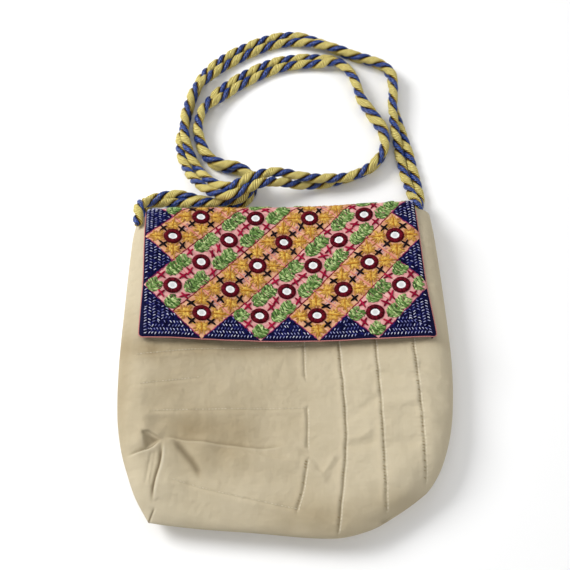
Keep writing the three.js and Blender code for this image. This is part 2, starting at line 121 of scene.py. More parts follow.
# %% Strap route
ROUTE = np.array([
    # x, y, lift, roll: roll turns the pair of ropes from flat (0) to stacked (90)
    (113.6, 122, 6.5, 90), (113.6, 137, 5.5, 85), (114.5, 154, 0.8, 40), (111, 179, 0, 0),
    (107.5, 205, 0, 5), (102.8, 234, 0, 48), (100.3, 265, 0, 88), (101.8, 289, 0, 88),
    (92.5, 307.5, 0, 60), (70, 317, 0, 60), (50, 327, 0, 65), (31, 337, 0, 30), (3, 344.5, 0, 0),
    (-29.5, 333.5, 0, 0), (-57.5, 315, 0, 0), (-75.5, 295, 0, 30), (-86, 271, 0, 85),
    (-92.3, 240, 0, 88), (-93, 213, 0, 48), (-83.5, 187, 3, 0), (-68, 161, 15, 0),
    (-47, 151, 20, 0), (-25, 163, 20, 0), (-2, 169, 12, 30), (24, 169.5, 1.5, 85),
    (61, 178.5, 0, 120), (85, 197, 0, 96), (89.5, 228, 0, 86), (72.5, 260, 0, 76),
    (66, 287, 0, 72), (53, 310.5, 0, 45), (28, 315, 0, 12), (-4, 312, 0, 0), (-34, 296.5, 0, 0),
    (-60.5, 274, 0, 18), (-78.5, 247, 0, 75), (-78, 217, 0, 85), (-62, 190, 0, 98),
    (-42, 186, 0, 102), (-28.5, 169.5, 0, 90), (-37, 152, 0, 90), (-64, 150, 0, 58),
    (-95, 156, 0, 0),
], float)
ROPE_ENDS = {
    "strap_rope_a": np.array([(-109, 149, 9), (-118.5, 142.5, 19), (-122.3, 132, 30.5),
                              (-121.6, 120, 34.8), (-121.4, 109, 34.8)], float),
    "strap_rope_b": np.array([(-109, 158.5, 4.6), (-119, 154, 4.6), (-123.5, 145, 4.7),
                              (-124.2, 138, 5.6), (-124.2, 131.8, 7)], float),
}
ROPE_SPACING = 8.8
ROPE_LOWEST = 4.6
ROPE_STEPS = 1000
ROUTE_STATIONS = 64
FINE_STATIONS = 6000
SMALL_SHARE = 1e-4


def unit(v):
    """Each vector divided by its own length."""
    return v / np.linalg.norm(v, axis=-1, keepdims=True)


def smoothstep(t):
    """3 t squared less 2 t cubed, for t held between 0 and 1."""
    t = np.clip(t, 0, 1)
    return t * t * (3 - 2 * t)


def curve_through(points, share):
    """Centripetal Catmull-Rom curve: between two points a cubic whose end slopes weigh the spans
    before and after by the square root of their lengths. share runs from 0 to 1 over the points."""
    run = np.vstack([2 * points[0] - points[1], points, 2 * points[-1] - points[-2]])
    place = np.clip(share, 0, 1) * (len(points) - 1)
    k = np.minimum(place.astype(int), len(points) - 2)
    t = (place - k)[:, None]
    p0, p1, p2, p3 = run[k], run[k + 1], run[k + 2], run[k + 3]
    d0, d1, d2 = (np.sqrt(np.linalg.norm(b - a, axis=1, keepdims=True))
                  for a, b in ((p0, p1), (p1, p2), (p2, p3)))
    slope1 = ((p1 - p0) / d0 - (p2 - p0) / (d0 + d1) + (p2 - p1) / d1) * d1
    slope2 = ((p2 - p1) / d1 - (p3 - p1) / (d1 + d2) + (p3 - p2) / d2) * d1
    return (p1 * (1 + 2 * t) * (1 - t) ** 2 + slope1 * t * (1 - t) ** 2
            + p2 * t * t * (3 - 2 * t) + slope2 * t * t * (t - 1))


def evenly(points, count):
    """The same line with count + 1 points at equal distances along it, and its length."""
    run = np.concatenate([[0], np.cumsum(np.linalg.norm(np.diff(points, axis=0), axis=1))])
    at = np.linspace(0, run[-1], count + 1)
    return np.stack([np.interp(at, run, points[:, k]) for k in range(3)], axis=1), run[-1]


def rope_line(name, side):
    """Centre line of one rope: half the spacing from the route, turned about it by the roll. Lift and
    roll ease from row to row of the route."""
    share = np.linspace(0, 1, ROUTE_STATIONS + 1)
    plan = ROUTE[:, :2]
    middle = curve_through(plan, share)
    ahead = unit(curve_through(plan, share + SMALL_SHARE) - curve_through(plan, share - SMALL_SHARE))
    place = share * (len(ROUTE) - 1)
    k = np.minimum(place.astype(int), len(ROUTE) - 2)
    eased = smoothstep(place - k)[:, None]
    lift, roll = (ROUTE[k, 2:] + (ROUTE[k + 1, 2:] - ROUTE[k, 2:]) * eased).T
    half = ROPE_SPACING / 2
    flat = side * half * np.cos(np.radians(roll))
    height = ROPE_LOWEST + lift + half * np.sin(np.radians(roll)) * (1 + side)
    x = middle[:, 0] - ahead[:, 1] * flat
    y = middle[:, 1] + ahead[:, 0] * flat
    points = np.vstack([np.stack([x, y, height], axis=1), ROPE_ENDS[name]])
    return evenly(curve_through(points, np.linspace(0, 1, FINE_STATIONS)), ROPE_STEPS)


rope_lines = {name: rope_line(name, side) for name, side in (("strap_rope_a", 1), ("strap_rope_b", -1))}
print("rope lengths in mm:", {name: round(length) for name, (_, length) in rope_lines.items()})

# %% Strands
TWIST_PITCH = 24.0
STRAND_SIDES = 24
# helix radius, half thickness outwards, half width round the rope
STRANDS = {"yellow": (1.5, 2.7, 3.8), "blue": (2.4, 1.85, 2.4)}
# length over which an end closes, and how far it closes
CLOSING = 4.0
CLOSED_SHARE = 0.98
# cosines of the angle from the outside at which a strand's painted shade is full and at which it ends
DARK_COSINE = -0.95
LIGHT_COSINE = -0.05


def ring_squares(rows, sides):
    """Squares between rings of points, and the row and side of each of their corners. The last side of
    a ring meets its first."""
    i, j = np.meshgrid(np.arange(rows - 1), np.arange(sides), indexing="ij")
    after = (j + 1) % sides
    squares = np.stack([i * sides + j, i * sides + after, (i + 1) * sides + after, (i + 1) * sides + j], -1)
    corners = ((i, j), (i, j + 1), (i + 1, j + 1), (i + 1, j))
    places = np.stack([np.stack(corner, -1) for corner in corners], -2)
    return squares.reshape(-1, 4), places.reshape(-1, 4, 2).astype(float)


def tube_faces(rows, sides, first):
    """Faces of a closed tube of rings: squares between rings and a fan of triangles to each end tip."""
    squares, square_uv = ring_squares(rows, sides)
    j = np.arange(sides)
    after = (j + 1) % sides
    tip, last = rows * sides, (rows - 1) * sides
    fans = np.concatenate([np.stack([np.full(sides, tip), after, j], -1),
                           np.stack([np.full(sides, tip + 1), last + j, last + after], -1)])
    near, far = np.zeros(sides), np.full(sides, float(rows))
    fan_corners = (((near, j), (near, j + 1), (near, j)), ((far, j), (far, j), (far, j + 1)))
    fan_uv = np.concatenate([np.stack([np.stack(corner, -1) for corner in fan], -2) for fan in fan_corners])
    return squares + first, square_uv, fans + first, fan_uv


def strand(line, length, start_angle, radius, outwards, around):
    """A strand: an ellipse whose centre turns left-handed round the line once every pitch. Both ends
    close in a quarter ellipse. Its shade is 1 on the outside and 0 where it faces the other strand,
    where its colour gets painted shade."""
    ahead = unit(np.gradient(line, axis=0))
    side = unit(np.cross(ahead, (0, 0, 1)))
    up = np.cross(side, ahead)
    run = np.linspace(0, length, len(line))
    turn = start_angle + 2 * np.pi * run / TWIST_PITCH
    out = np.cos(turn)[:, None] * side + np.sin(turn)[:, None] * up
    along_turn = np.cross(ahead, out)
    from_end = np.minimum(run, length - run)
    close = np.sqrt(1 - np.clip(1 - from_end / CLOSING, 0, 1) ** 2 * CLOSED_SHARE)
    angle = 2 * np.pi * np.arange(STRAND_SIDES) / STRAND_SIDES
    centre = line + out * (radius * close)[:, None]
    rings = (centre[:, None] + out[:, None] * (outwards * close[:, None] * np.cos(angle))[..., None]
             + along_turn[:, None] * (around * close[:, None] * np.sin(angle))[..., None])
    # painted shade: the side of a strand that faces the other one is darkened in its colour
    painted_lit_share = smoothstep((np.cos(angle) - DARK_COSINE) / (LIGHT_COSINE - DARK_COSINE))
    shade = np.concatenate([np.tile(painted_lit_share, len(line)), [0.5, 0.5]])
    return np.vstack([rings.reshape(-1, 3), centre[[0, -1]]]), shade


def add_rope(name, start_angle):
    """One rope: a yellow and a blue strand half a turn apart, in one mesh with two material slots."""
    line, length = rope_lines[name]
    parts = []
    for k, sizes in enumerate(STRANDS.values()):
        skin, shade = strand(line, length, start_angle + np.pi * k, *sizes)
        squares, square_uv, fans, fan_uv = tube_faces(len(line), STRAND_SIDES, k * len(skin))
        scale = np.array([length / ROPE_STEPS, 2 * np.pi * sizes[2] / STRAND_SIDES])
        parts.append((skin, shade, squares, square_uv * scale, fans, fan_uv * scale))
    points, shades, squares, square_uv, fans, fan_uv = (np.concatenate(column) for column in zip(*parts))
    slots = np.concatenate([np.repeat([0, 1], len(faces) // 2) for faces in (squares, fans)])
    piece = add_piece(name.replace("strap_", "twisted_"), points, [squares, fans], [square_uv, fan_uv],
                      shades, slots)
    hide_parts(name)
    return piece


rope_a = add_rope("strap_rope_a", 0.0)
rope_b = add_rope("strap_rope_b", np.pi)

# %% [markdown]
# ## Shape of the pouch
#
# The pouch is two panels sewn together round the sides and the bottom. The front is empty, so its
# middle sags, and its lower left corner is crumpled. Each form is a height above the table that depends
# on the place in plan, so folds and grooves can simply be added up. The tables give the outline, the
# height of the rim and the sag at a few places, and a smooth curve through them gives the rest.

# %% Outline and height of the pouch
SECTIONS = np.array([
    # y, left edge, right edge, height of the rim, sag of the middle
    (131, -125.5, 122.5, 37, 12), (100, -127.6, 125, 37, 13), (40, -128.5, 127.7, 35.5, 13),
    (-10, -128.6, 128.6, 33.5, 11), (-50, -126, 125.2, 32, 9), (-75, -121, 119, 31, 7),
    (-95, -114, 110, 30, 5), (-110, -107.5, 97, 29, 3), (-127, -97, 68, 28, 1),
], float)
BOTTOM_EDGE = np.array([(-97, -127), (-60, -131), (-25, -133.5), (34, -137.5), (60, -132),
                        (76, -123.5), (90, -114.5), (100, -107)], float)
LEFT, RIGHT, RIM, SAG = 1, 2, 3, 4
WALL = 2.0
SEAM_HEIGHT = 17.0
SEAM_GAP = 0.4
FRONT_MOUTH_Y = 129.0
BACK_MOUTH_Y = 131.0
LEFT_CORNER_Y = -127.0
RIGHT_CORNER_X = 100.0
FRONT_ROUND = 22.0
BOTTOM_ROUND = 30.0
BACK_ROUND = 15.0
SAG_HALF_WIDTH = 116.0
PRESS_HALF_WIDTH = 111.0
PRESS_POWER = 1.5
PRESS_DEPTH = 2.5
PRESS_FROM_Y = 99.0
PRESS_SPAN = 25.0


def table_curve(places, values, at):
    """Cubic curve through the rows of a table; the slope at a row is that of the line from the row
    before to the row after. Past the ends the value stays."""
    order = np.argsort(places)
    p, w = places[order], values[order]
    rows = np.arange(len(p))
    before, after = np.maximum(rows - 1, 0), np.minimum(rows + 1, len(p) - 1)
    slope = (w[after] - w[before]) / (p[after] - p[before])
    k = np.clip(np.searchsorted(p, at) - 1, 0, len(p) - 2)
    span = p[k + 1] - p[k]
    t = np.clip((at - p[k]) / span, 0, 1)
    return (w[k] * (1 + 2 * t) * (1 - t) ** 2 + slope[k] * span * t * (1 - t) ** 2
            + w[k + 1] * t * t * (3 - 2 * t) + slope[k + 1] * span * t * t * (t - 1))


def section(column, y):
    """Value of one column of the sections at y."""
    return table_curve(SECTIONS[:, 0], SECTIONS[:, column], y)


def bottom_y(x):
    """Where the bottom edge lies at x."""
    return table_curve(BOTTOM_EDGE[:, 0], BOTTOM_EDGE[:, 1], x)


def panel_plan(u, v, mouth_y):
    """Plan of a panel at shares u across and v down: a Coons patch, which is the blend of the left
    and right edges plus the blend of the top and bottom edges less the blend of the corners."""
    right_y = float(bottom_y(np.array(RIGHT_CORNER_X)))
    left_x = float(section(LEFT, np.array(LEFT_CORNER_Y)))
    top = np.array([float(section(side, np.array(mouth_y))) for side in (LEFT, RIGHT)])
    edge_y = [mouth_y + (LEFT_CORNER_Y - mouth_y) * v, mouth_y + (right_y - mouth_y) * v]
    across_x = (1 - u) * section(LEFT, edge_y[0]) + u * section(RIGHT, edge_y[1])
    across_y = (1 - u) * edge_y[0] + u * edge_y[1]
    low_x = left_x + (RIGHT_CORNER_X - left_x) * u
    down_x = (1 - v) * (top[0] + (top[1] - top[0]) * u) + v * low_x
    down_y = (1 - v) * mouth_y + v * bottom_y(low_x)
    corner_x = down_x
    corner_y = (1 - v) * mouth_y + v * ((1 - u) * LEFT_CORNER_Y + u * right_y)
    return across_x + down_x - corner_x, across_y + down_y - corner_y


def rounded(distance, reach):
    """Quarter of an ellipse: 0 at the edge and 1 from the reach on."""
    return np.sqrt(1 - np.clip(1 - distance / reach, 0, 1) ** 2)


def rim_share(x, y, side_reach, bottom_reach):
    """Share of the full rise: the product of the rounding at the left, right and bottom edges."""
    return (rounded(x - section(LEFT, y), side_reach) * rounded(section(RIGHT, y) - x, side_reach)
            * rounded(y - bottom_y(x), bottom_reach))


def middle_share(x):
    """1 in the middle, fading to 0 at the sides as (1 - (x / half width) squared) squared."""
    return np.maximum(1 - (x / SAG_HALF_WIDTH) ** 2, 0) ** 2


def front_smooth(x, y):
    """Height of the rim less the sag of the middle."""
    return section(RIM, y) - section(SAG, y) * middle_share(x)


def pressed(x):
    """Share of the strap's weight, which presses the left end of the mouth and of the flap's fold."""
    return np.clip(-x / PRESS_HALF_WIDTH, 0, 1) ** PRESS_POWER


def press_depth(x, y):
    """How far the weight presses the cloth down: its share, coming in smoothly towards the mouth."""
    return PRESS_DEPTH * pressed(x) * smoothstep((y - PRESS_FROM_Y) / PRESS_SPAN)


sample = front_smooth(np.array([-100.0, 0.0, 100.0]), np.full(3, -20.0))
print("height of the front at the left, middle and right in mm:", sample.round(1))

# %% [markdown]
# ## Folds and quilting
#
# The quilting is a sewn line that pulls the cloth down into a sharp groove, with small puckers that
# cross it, and the cloth stands up softly between the lines. A fold is a soft ridge along a line, and a
# crease is sharp at its line. All of them need only the distance from a point to a line, so one function
# measures it. Creases and seams also get a tone of painted light: above 0 it is painted shade, which
# darkens the cotton in hollows and grooves, and below 0 it is a painted highlight, which makes the cotton
# paler on ridges and beside seams.

# %% Folds, creases and quilting lines
FOLDS = np.array([
    # from x, from y, to x, to y, width, rise: soft ridges and hollows
    (-104, -66, -102.5, -54, 5.5, 1.8), (-91, -57, -66, -64, 8, -1.7),
    (-110, -86, -103, -112, 7, 1.5), (-94.2, -80, -95.8, -101, 1.0, -0.6),
    (-96.6, -80, -99.4, -101, 1.1, -0.7), (-84, -84, -80, -100, 8, 1.2),
    (-60, -74, -62, -88, 7, 1.4), (-36, -84, 14, -89, 7, 1.2), (19.5, -91, 27, -97, 3.5, 1.0),
    (-113, -72, -105, -74, 5, 1.8), (-118, -58, -112, -40, 8, 1.2), (48, -52, 67, -38, 4, -1.2),
    (47, -8, 68, -22, 4, -1.0), (47, -24, 66, -33, 4, 1.0), (74, -18, 96, -22, 4, -1.1),
    (74, -44, 95, -40, 4, 1.1), (103, -14, 120, -24, 3.5, -1.5), (103, -34, 119, -42, 3.5, -1.4),
    (102, -50, 117, -56, 3.5, 1.2), (75, -74, 97, -70, 4.5, -1.2), (46, -74, 64, -71, 4, -1.2),
    (-118, -40, -97, -46, 6, -1.2), (-60, -118, -20, -125, 7, -0.9), (-60, -30, 0, -24, 9, 0.7),
    (-90, -12, -50, -16, 7, -0.8), (20, 2, 38, -10, 6, -0.8), (20, -28, 40, -40, 6, 0.8),
    (76, 0, 94, -6, 5, 0.8), (60, -100, 92, -88, 8, 1.0),
], float)
# points of each crease; the rise at the line and its reach to the left of the run, then the same to the
# right; how much painted shade the line gets and how wide it is. A tuck is high on one side and low on the
# other, a crease is low on both.
CREASES = [
    ([(-89.7, -70.6), (-89.1, -77.3), (-89.2, -84.5), (-90.2, -90.3), (-91.6, -96.1),
      (-92.5, -101), (-93.1, -105.4), (-93.6, -111.7), (-93.8, -117)], 1.6, 6, -2.2, 4, 1.0, 1.4),
    ([(-91.5, -117.5), (-95, -124.4), (-97, -128.5)], 1.4, 4, -1.8, 3, 1.0, 0.9),
    ([(-115.5, -82), (-107.9, -80), (-101.8, -78.2), (-97.1, -76.2), (-93.2, -72.6),
      (-89.6, -69.6)], -2.6, 3, 1.6, 6, 0.6, 1.0),
    ([(-106, -68), (-104, -65.5), (-101.5, -63.6), (-97.8, -64.8), (-93.3, -67.8), (-88.5, -69.8)],
     2.0, 6, -0.3, 3, 0, 1),
    ([(-89.8, -68.8), (-85.3, -68.3), (-79.6, -68.5), (-73.7, -69.8), (-63.6, -70.3),
      (-51.3, -71.8), (-36.7, -73.3), (-22.2, -74.9), (-13.4, -74.8), (1.2, -72.5)],
     -2.2, 9, 0.3, 4, 0.25, 1.3),
    ([(-46, -73.2), (-33.7, -76.6), (-22.1, -80.2), (-7.5, -83.8), (14, -85.3)],
     1.3, 2.4, 1.3, 6, 0, 1),
    ([(-83, -67.5), (-75, -77.1), (-69.9, -83), (-65.5, -88.4), (-62.9, -93.2), (-61, -101)],
     -3.2, 2.4, -3.2, 7, 0.65, 2.4),
    ([(7, -74), (17.1, -80.1), (22.1, -84.7), (25.6, -89.9), (24.8, -97)], -1.5, 4, -1.5, 7, 0, 1),
    ([(37.5, -78), (32.9, -85.6), (29.1, -91.4), (23, -98.5)], 1.4, 3.5, 1.4, 3.5, 0, 1),
    ([(43, -79), (37.2, -86.4), (34.1, -92.2), (31.6, -102)], -1.4, 4, -1.4, 6, 0, 1),
    ([(44.5, -66.5), (52.3, -68), (58.2, -65.2), (66, -59)], 1.2, 2, 1.2, 3.5, 0, 1),
    ([(-104, -52), (-96, -56), (-84, -58)], -0.8, 2.5, -0.8, 4.5, 0, 1),
]
# corners of the pocket that the folds leave open, counted anticlockwise, its depth and how much painted
# shade it gets
POCKET = np.array([(-104, -63.8), (-101.5, -77.2), (-91.5, -70.6)])
POCKET_DEPTH = 2.8
POCKET_PAINTED_SHADE = 0.55
# points of each quilting line, depth and reach of its groove, and the puckers across it
QUILT_LINES = [
    ([(14, 14), (14.5, -5), (14.9, -18)], 0.85, 0.9, 0.08),
    ([(16.4, -44.6), (16.5, -60), (16.1, -74)], 0.85, 0.9, 0.08),
    ([(15.9, -85), (12.8, -104.5), (8.4, -119.9)], 0.95, 1.0, 0.12),
    ([(40.8, 14), (44, -30.4), (44.9, -63.2), (43.1, -87.9), (39.8, -113.1), (37.1, -134)],
     1.15, 1.0, 0.15),
    ([(69, 14), (71.1, -27.7), (71.7, -58.8), (71.8, -88.5), (71.5, -119)], 1.0, 0.9, 0.2),
    ([(97.7, 14), (99.9, -21.1), (100.9, -59.7), (101, -85.1), (100.8, -99)], 0.88, 0.9, 0.24),
    ([(-113, -5.1), (-65.5, 0.9), (13.7, 6.9)], 0.5, 1.0, 0.05),
    ([(-109, -29.1), (-86.5, -25.3), (-64.8, -21.4)], 0.4, 1.0, 0.05),
    ([(-98, -49), (-41.2, -46.1), (16.1, -44.6)], 0.45, 1.0, 0.05),
    ([(-80.6, -99.5), (-59.1, -105.5), (-25, -113), (8.1, -119.9)], 0.4, 1.0, 0.06),
]
FAR = 1e9
LINE_STATIONS = 400
CREASE_SPACING = 4.0
CREASE_BLEND = 0.9
CREASE_PAINTED_HIGHLIGHT = 0.6
QUILT_SPACING = 6.0
PUCKER_REACH = 2.6
ROLL_SHARE = 0.6


def bell(t):
    """Bell curve: e to the power of minus t squared."""
    return np.exp(-t ** 2)


def line_points(points, spacing):
    """A smooth curve through plan points, with a point about every spacing."""
    points = np.asarray(points, float)
    length = np.linalg.norm(np.diff(points, axis=0), axis=1).sum()
    flat = np.column_stack([points, np.zeros(len(points))])
    smooth = curve_through(flat, np.linspace(0, 1, LINE_STATIONS))
    return evenly(smooth, max(int(round(length / spacing)), 1))[0][:, :2]


def from_segment(x, y, start, end):
    """Distance from places to a segment, how far along it the nearest point is, and on which side of it
    the place lies: 1 to the left of the way from start to end, -1 to the right."""
    step = end - start
    length = np.hypot(*step)
    t = np.clip(((x - start[0]) * step[0] + (y - start[1]) * step[1]) / length ** 2, 0, 1)
    side = np.where(step[0] * (y - start[1]) - step[1] * (x - start[0]) > 0, 1, -1)
    return np.hypot(x - start[0] - t * step[0], y - start[1] - t * step[1]), t * length, side


def from_line(x, y, points):
    """The same for a run of segments: what its nearest segment gives, and the length of the run."""
    near, along, side = np.full(np.shape(x), FAR), np.zeros(np.shape(x)), np.ones(np.shape(x))
    gone = 0.0
    for start, end in zip(points[:-1], points[1:]):
        distance, place, here = from_segment(x, y, start, end)
        nearer = distance < near
        along = np.where(nearer, gone + place, along)
        side = np.where(nearer, here, side)
        near = np.minimum(near, distance)
        gone += np.hypot(*(end - start))
    return near, along, side, gone


def fold_height(x, y):
    """Sum over the folds of the rise times the bell curve of (distance / width)."""
    height = np.zeros(np.shape(x))
    for *ends, width, rise in FOLDS:
        height += rise * bell(from_segment(x, y, np.array(ends[:2]), np.array(ends[2:]))[0] / width)
    return height


def pocket_share(x, y):
    """1 inside the pocket and 0 outside it: a smooth step of the least distance in from its edges."""
    inside = np.full(np.shape(x), FAR)
    for start, end in zip(POCKET, np.roll(POCKET, -1, axis=0)):
        step = (end - start) / np.hypot(*(end - start))
        inside = np.minimum(inside, step[0] * (y - start[1]) - step[1] * (x - start[0]))
    return smoothstep((inside + 0.8) / 3.2)


def crease_form(x, y):
    """Sum over the creases of the rise on each side times exp(-distance / reach), blended at the line and
    fading out at both ends; and the tone, a bell curve of painted shade on the low side and one of painted
    highlight on the high side. The pocket is low and gets painted shade, most of all at its right end."""
    height, dark, pale = (np.zeros(np.shape(x)) for _ in range(3))
    for points, left, left_reach, right, right_reach, depth, width in CREASES:
        near, along, side, length = from_line(x, y, line_points(points, CREASE_SPACING))
        end = np.clip(0.28 * length, 3, 12)
        fade = smoothstep(along / end) * smoothstep((length - along) / end)
        q = near * side
        share = smoothstep((q + CREASE_BLEND) / (2 * CREASE_BLEND))
        height += fade * (share * left * np.exp(-np.maximum(q, 0) / left_reach)
                          + (1 - share) * right * np.exp(-np.maximum(-q, 0) / right_reach))
        low = 0.5 * width * np.sign(right - left)
        dark = np.maximum(dark, depth * fade * bell((q - low) / width))
        if left != right:
            pale = np.maximum(pale, depth * fade * bell((q + 1.6 * low) / (0.7 * width)))
    pocket = pocket_share(x, y)
    dark = np.maximum(dark, POCKET_PAINTED_SHADE * pocket * smoothstep((x + 106) / 10))
    return height - POCKET_DEPTH * pocket, dark - CREASE_PAINTED_HIGHLIGHT * pale * (1 - pocket)


def quilting(x, y):
    """Groove of depth times exp(-distance / reach) along each line, a low roll on one side of it, and
    puckers: a sine wave along the line that fades with distance from it. The groove gets painted shade,
    and the cloth beside it a painted highlight."""
    height, tone = np.zeros(np.shape(x)), np.zeros(np.shape(x))
    for k, (points, depth, reach, pucker) in enumerate(QUILT_LINES):
        near, along, side, _ = from_line(x, y, line_points(points, QUILT_SPACING))
        phase = 2 * np.pi * along / (4.2 + 0.8 * np.sin(k * 2.1)) + 1.8 * np.sin(along / 9 + k)
        height += pucker * np.exp(-near / PUCKER_REACH) * np.sin(phase) - depth * np.exp(-near / reach)
        q = near * side + 0.3 * np.sin(along / 3.3 + 2 * k)
        height += ROLL_SHARE * depth * bell((q + 2.6) / 2.0)
        # painted shade in the groove and on one side of it, painted highlight on the other side
        seam_shade_and_highlight = 0.42 * bell((q + 0.3) / 0.6) + 0.16 * bell((q + 1.5) / 1.3) - 0.4 * bell((q - 1.1) / 0.5)
        tone += max(depth - 0.4, 0) * seam_shade_and_highlight
    return height, tone


def cloth_waves(x, y, seed, count, shortest, longest, size):
    """Soft unevenness of cloth: a sum of sine waves with seeded directions, lengths and phases."""
    rng = np.random.default_rng(seed)
    heading = rng.uniform(0, np.pi, count)
    wave = 2 * np.pi / rng.uniform(shortest, longest, count)
    phase = rng.uniform(0, 2 * np.pi, count)
    height = np.zeros(np.shape(x))
    for h, w, p in zip(heading, wave, phase):
        height += np.sin(w * (x * np.cos(h) + y * np.sin(h)) + p)
    return size * height / np.sqrt(count)


MOUTH_DROOP = 5.0
MOUTH_DROOP_LENGTH = 20.0
FREE_FROM_Y = 16.0
FREE_SPAN = 10.0


def front_form(x, y):
    """Height of the front face: the seam, plus the rounded share of the rise of the smooth form, folds,
    quilting and unevenness; and its tone of painted shade and painted highlight. Under the flap the cloth
    lies flat, so that the flap clears it."""
    mouth = np.maximum(1 - (FRONT_MOUTH_Y - y) / MOUTH_DROOP_LENGTH, 0)
    free = smoothstep((FREE_FROM_Y - y) / FREE_SPAN)
    creases, crease_painted_light = crease_form(x, y)
    sewn, seam_painted_light = quilting(x, y)
    waves = cloth_waves(x, y, 3, 9, 28, 75, 0.5) + cloth_waves(x, y, 8, 14, 7, 18, 0.12)
    detail = fold_height(x, y) + creases + free * (sewn + waves) - press_depth(x, y)
    foot = SEAM_HEIGHT + SEAM_GAP / 2
    rise = front_smooth(x, y) - MOUTH_DROOP * mouth ** 2 + detail - foot
    return foot + rise * rim_share(x, y, FRONT_ROUND, BOTTOM_ROUND), crease_painted_light + free * seam_painted_light


# middle x and y of each darker, browner place, its half width and half height, and how brown it is. Some
# are soil; those under the flap's bottom edge, on the far left rim and along the bottom rim are painted
# shade.
SOIL_AND_SHADE = np.array([
    (-50, -38, 75, 55, 0.34), (-40, -82, 34, 14, 0.22), (20, -126, 50, 14, 0.36),
    (-84, -20, 24, 40, 0.22), (-45, 4, 80, 9, 0.35), (-50, -62, 48, 13, 0.25),
    (-70, -60, 15, 9, 0.16), (-104, -2, 14, 8, 0.3), (-124, -20, 9, 90, 0.32),
    (84, -113, 22, 8, 0.25), (60, 7, 60, 7, 0.4), (20, -100, 40, 30, 0.12),
    (-45, -98, 36, 22, 0.1),
], float)


def soil_and_shade(x, y):
    """Sum of bell curves of the distance from each of the soiled places and the places of painted shade, in
    half widths.
    """
    total = np.zeros(np.shape(x))
    for middle_x, middle_y, wide, high, brown in SOIL_AND_SHADE:
        total += brown * np.exp(-((x - middle_x) / wide) ** 2 - ((y - middle_y) / high) ** 2)
    return total


print("quilting lines:", len(QUILT_LINES), "folds:", len(FOLDS), "creases:", len(CREASES))

# %% [markdown]
# ## Panels
#
# Cloth has two sides, so each panel is a wall: an outer face, an inner face a little way in along the
# normals, and a strip that joins their edges. A Solidify modifier does the same with as many points
# inside as outside; here the hidden inner face has one point for every sixteen, which saves nearly half.

# %% Wall of cloth
COARSE = 4
FINE_PLACES = 2001


def stations(count, crowd):
    """count + 1 places from 0 to 1 that cut the area under crowd(place) into equal parts, so that they
    lie close together where crowd is high."""
    fine = np.linspace(0, 1, FINE_PLACES)
    weight = crowd(fine)
    area = np.concatenate([[0], np.cumsum(weight[1:] + weight[:-1])])
    return np.interp(np.linspace(0, 1, count + 1), area / area[-1], fine)


def edge_loop(rows, columns, first):
    """Point numbers once round the edge of a grid, from its first corner and back."""
    grid = np.arange(rows * columns).reshape(rows, columns) + first
    return np.concatenate([grid[0, :-1], grid[:-1, -1], grid[-1, :0:-1], grid[::-1, 0]])


def grid_squares(rows, columns, first):
    """Squares of a grid of points that is numbered row by row from first on."""
    i, j = np.meshgrid(np.arange(rows - 1), np.arange(columns - 1), indexing="ij")
    a = i * columns + j + first
    return np.stack([a, a + columns, a + columns + 1, a + 1], -1).reshape(-1, 4)


def add_wall(name, outer, uv, thickness, facing, level_edges=False):
    """A closed wall from a grid of outer points. facing is 1 where rows times columns point outwards, or
    -1. With level_edges, the last row and both side columns are thickened level, as a seam is."""
    rows, columns = outer.shape[:2]
    normal = unit(np.cross(np.gradient(outer, axis=0), np.gradient(outer, axis=1))) * facing
    if level_edges:
        normal[:, [0, -1], 2] = 0
        normal[-1, :, 2] = 0
        normal = unit(normal)
    inner = (outer - normal * thickness)[::COARSE, ::COARSE]
    inner_uv = uv[::COARSE, ::COARSE]
    count = rows * columns
    squares = grid_squares(rows, columns, 0)
    lining = grid_squares(*inner.shape[:2], count)[:, ::-1]
    out, back = edge_loop(rows, columns, 0), edge_loop(*inner.shape[:2], count)
    near = np.stack([out[k:len(out) - COARSE + k:COARSE] for k in range(COARSE)] + [out[COARSE::COARSE]], -1)
    here, after = back[:-1], back[1:]
    strip = np.concatenate([np.stack(corners, -1) for corners in (
        (near[:, 0], near[:, 1], here), (near[:, 1], near[:, 2], here), (near[:, 2], after, here),
        (near[:, 2], near[:, 3], after), (near[:, 3], near[:, 4], after))])
    faces = [np.vstack([squares, lining])[:, ::facing], strip[:, ::facing]]
    all_uv = np.vstack([uv.reshape(-1, 2), inner_uv.reshape(-1, 2)])
    return add_piece(name, np.vstack([outer.reshape(-1, 3), inner.reshape(-1, 3)]), faces,
                     [all_uv[f] for f in faces])


# %% Front panel
FRONT_STEPS = 296
UPRIGHT_LINES = (0.556, 0.668, 0.774, 0.890)
MOUTH_PULL = 6.0
MOUTH_PULL_FROM_Y = 100.0


def near_ends(u, gain=1.7):
    """High at both ends: 1 plus the gain times exp(-distance / 0.05) from each."""
    return 1 + gain * (np.exp(-u / 0.05) + np.exp(-(1 - u) / 0.05))


def near_lines(u):
    """High at both ends, at the four upright quilting lines and at the crumpled corner."""
    lines = sum(bell((u - at) / 0.018) for at in UPRIGHT_LINES)
    return near_ends(u) + 1.8 * lines + 0.9 * bell((u - 0.145) / 0.05)


def towards_bottom(v):
    """Low under the flap, higher on the open cloth and the crumpled corner, highest at the bottom."""
    return (0.4 + 0.85 * smoothstep((v - 0.4) / 0.08) + 0.4 * smoothstep((v - 0.72) / 0.05)
            + 1.4 * np.exp(-(1 - v) / 0.045))


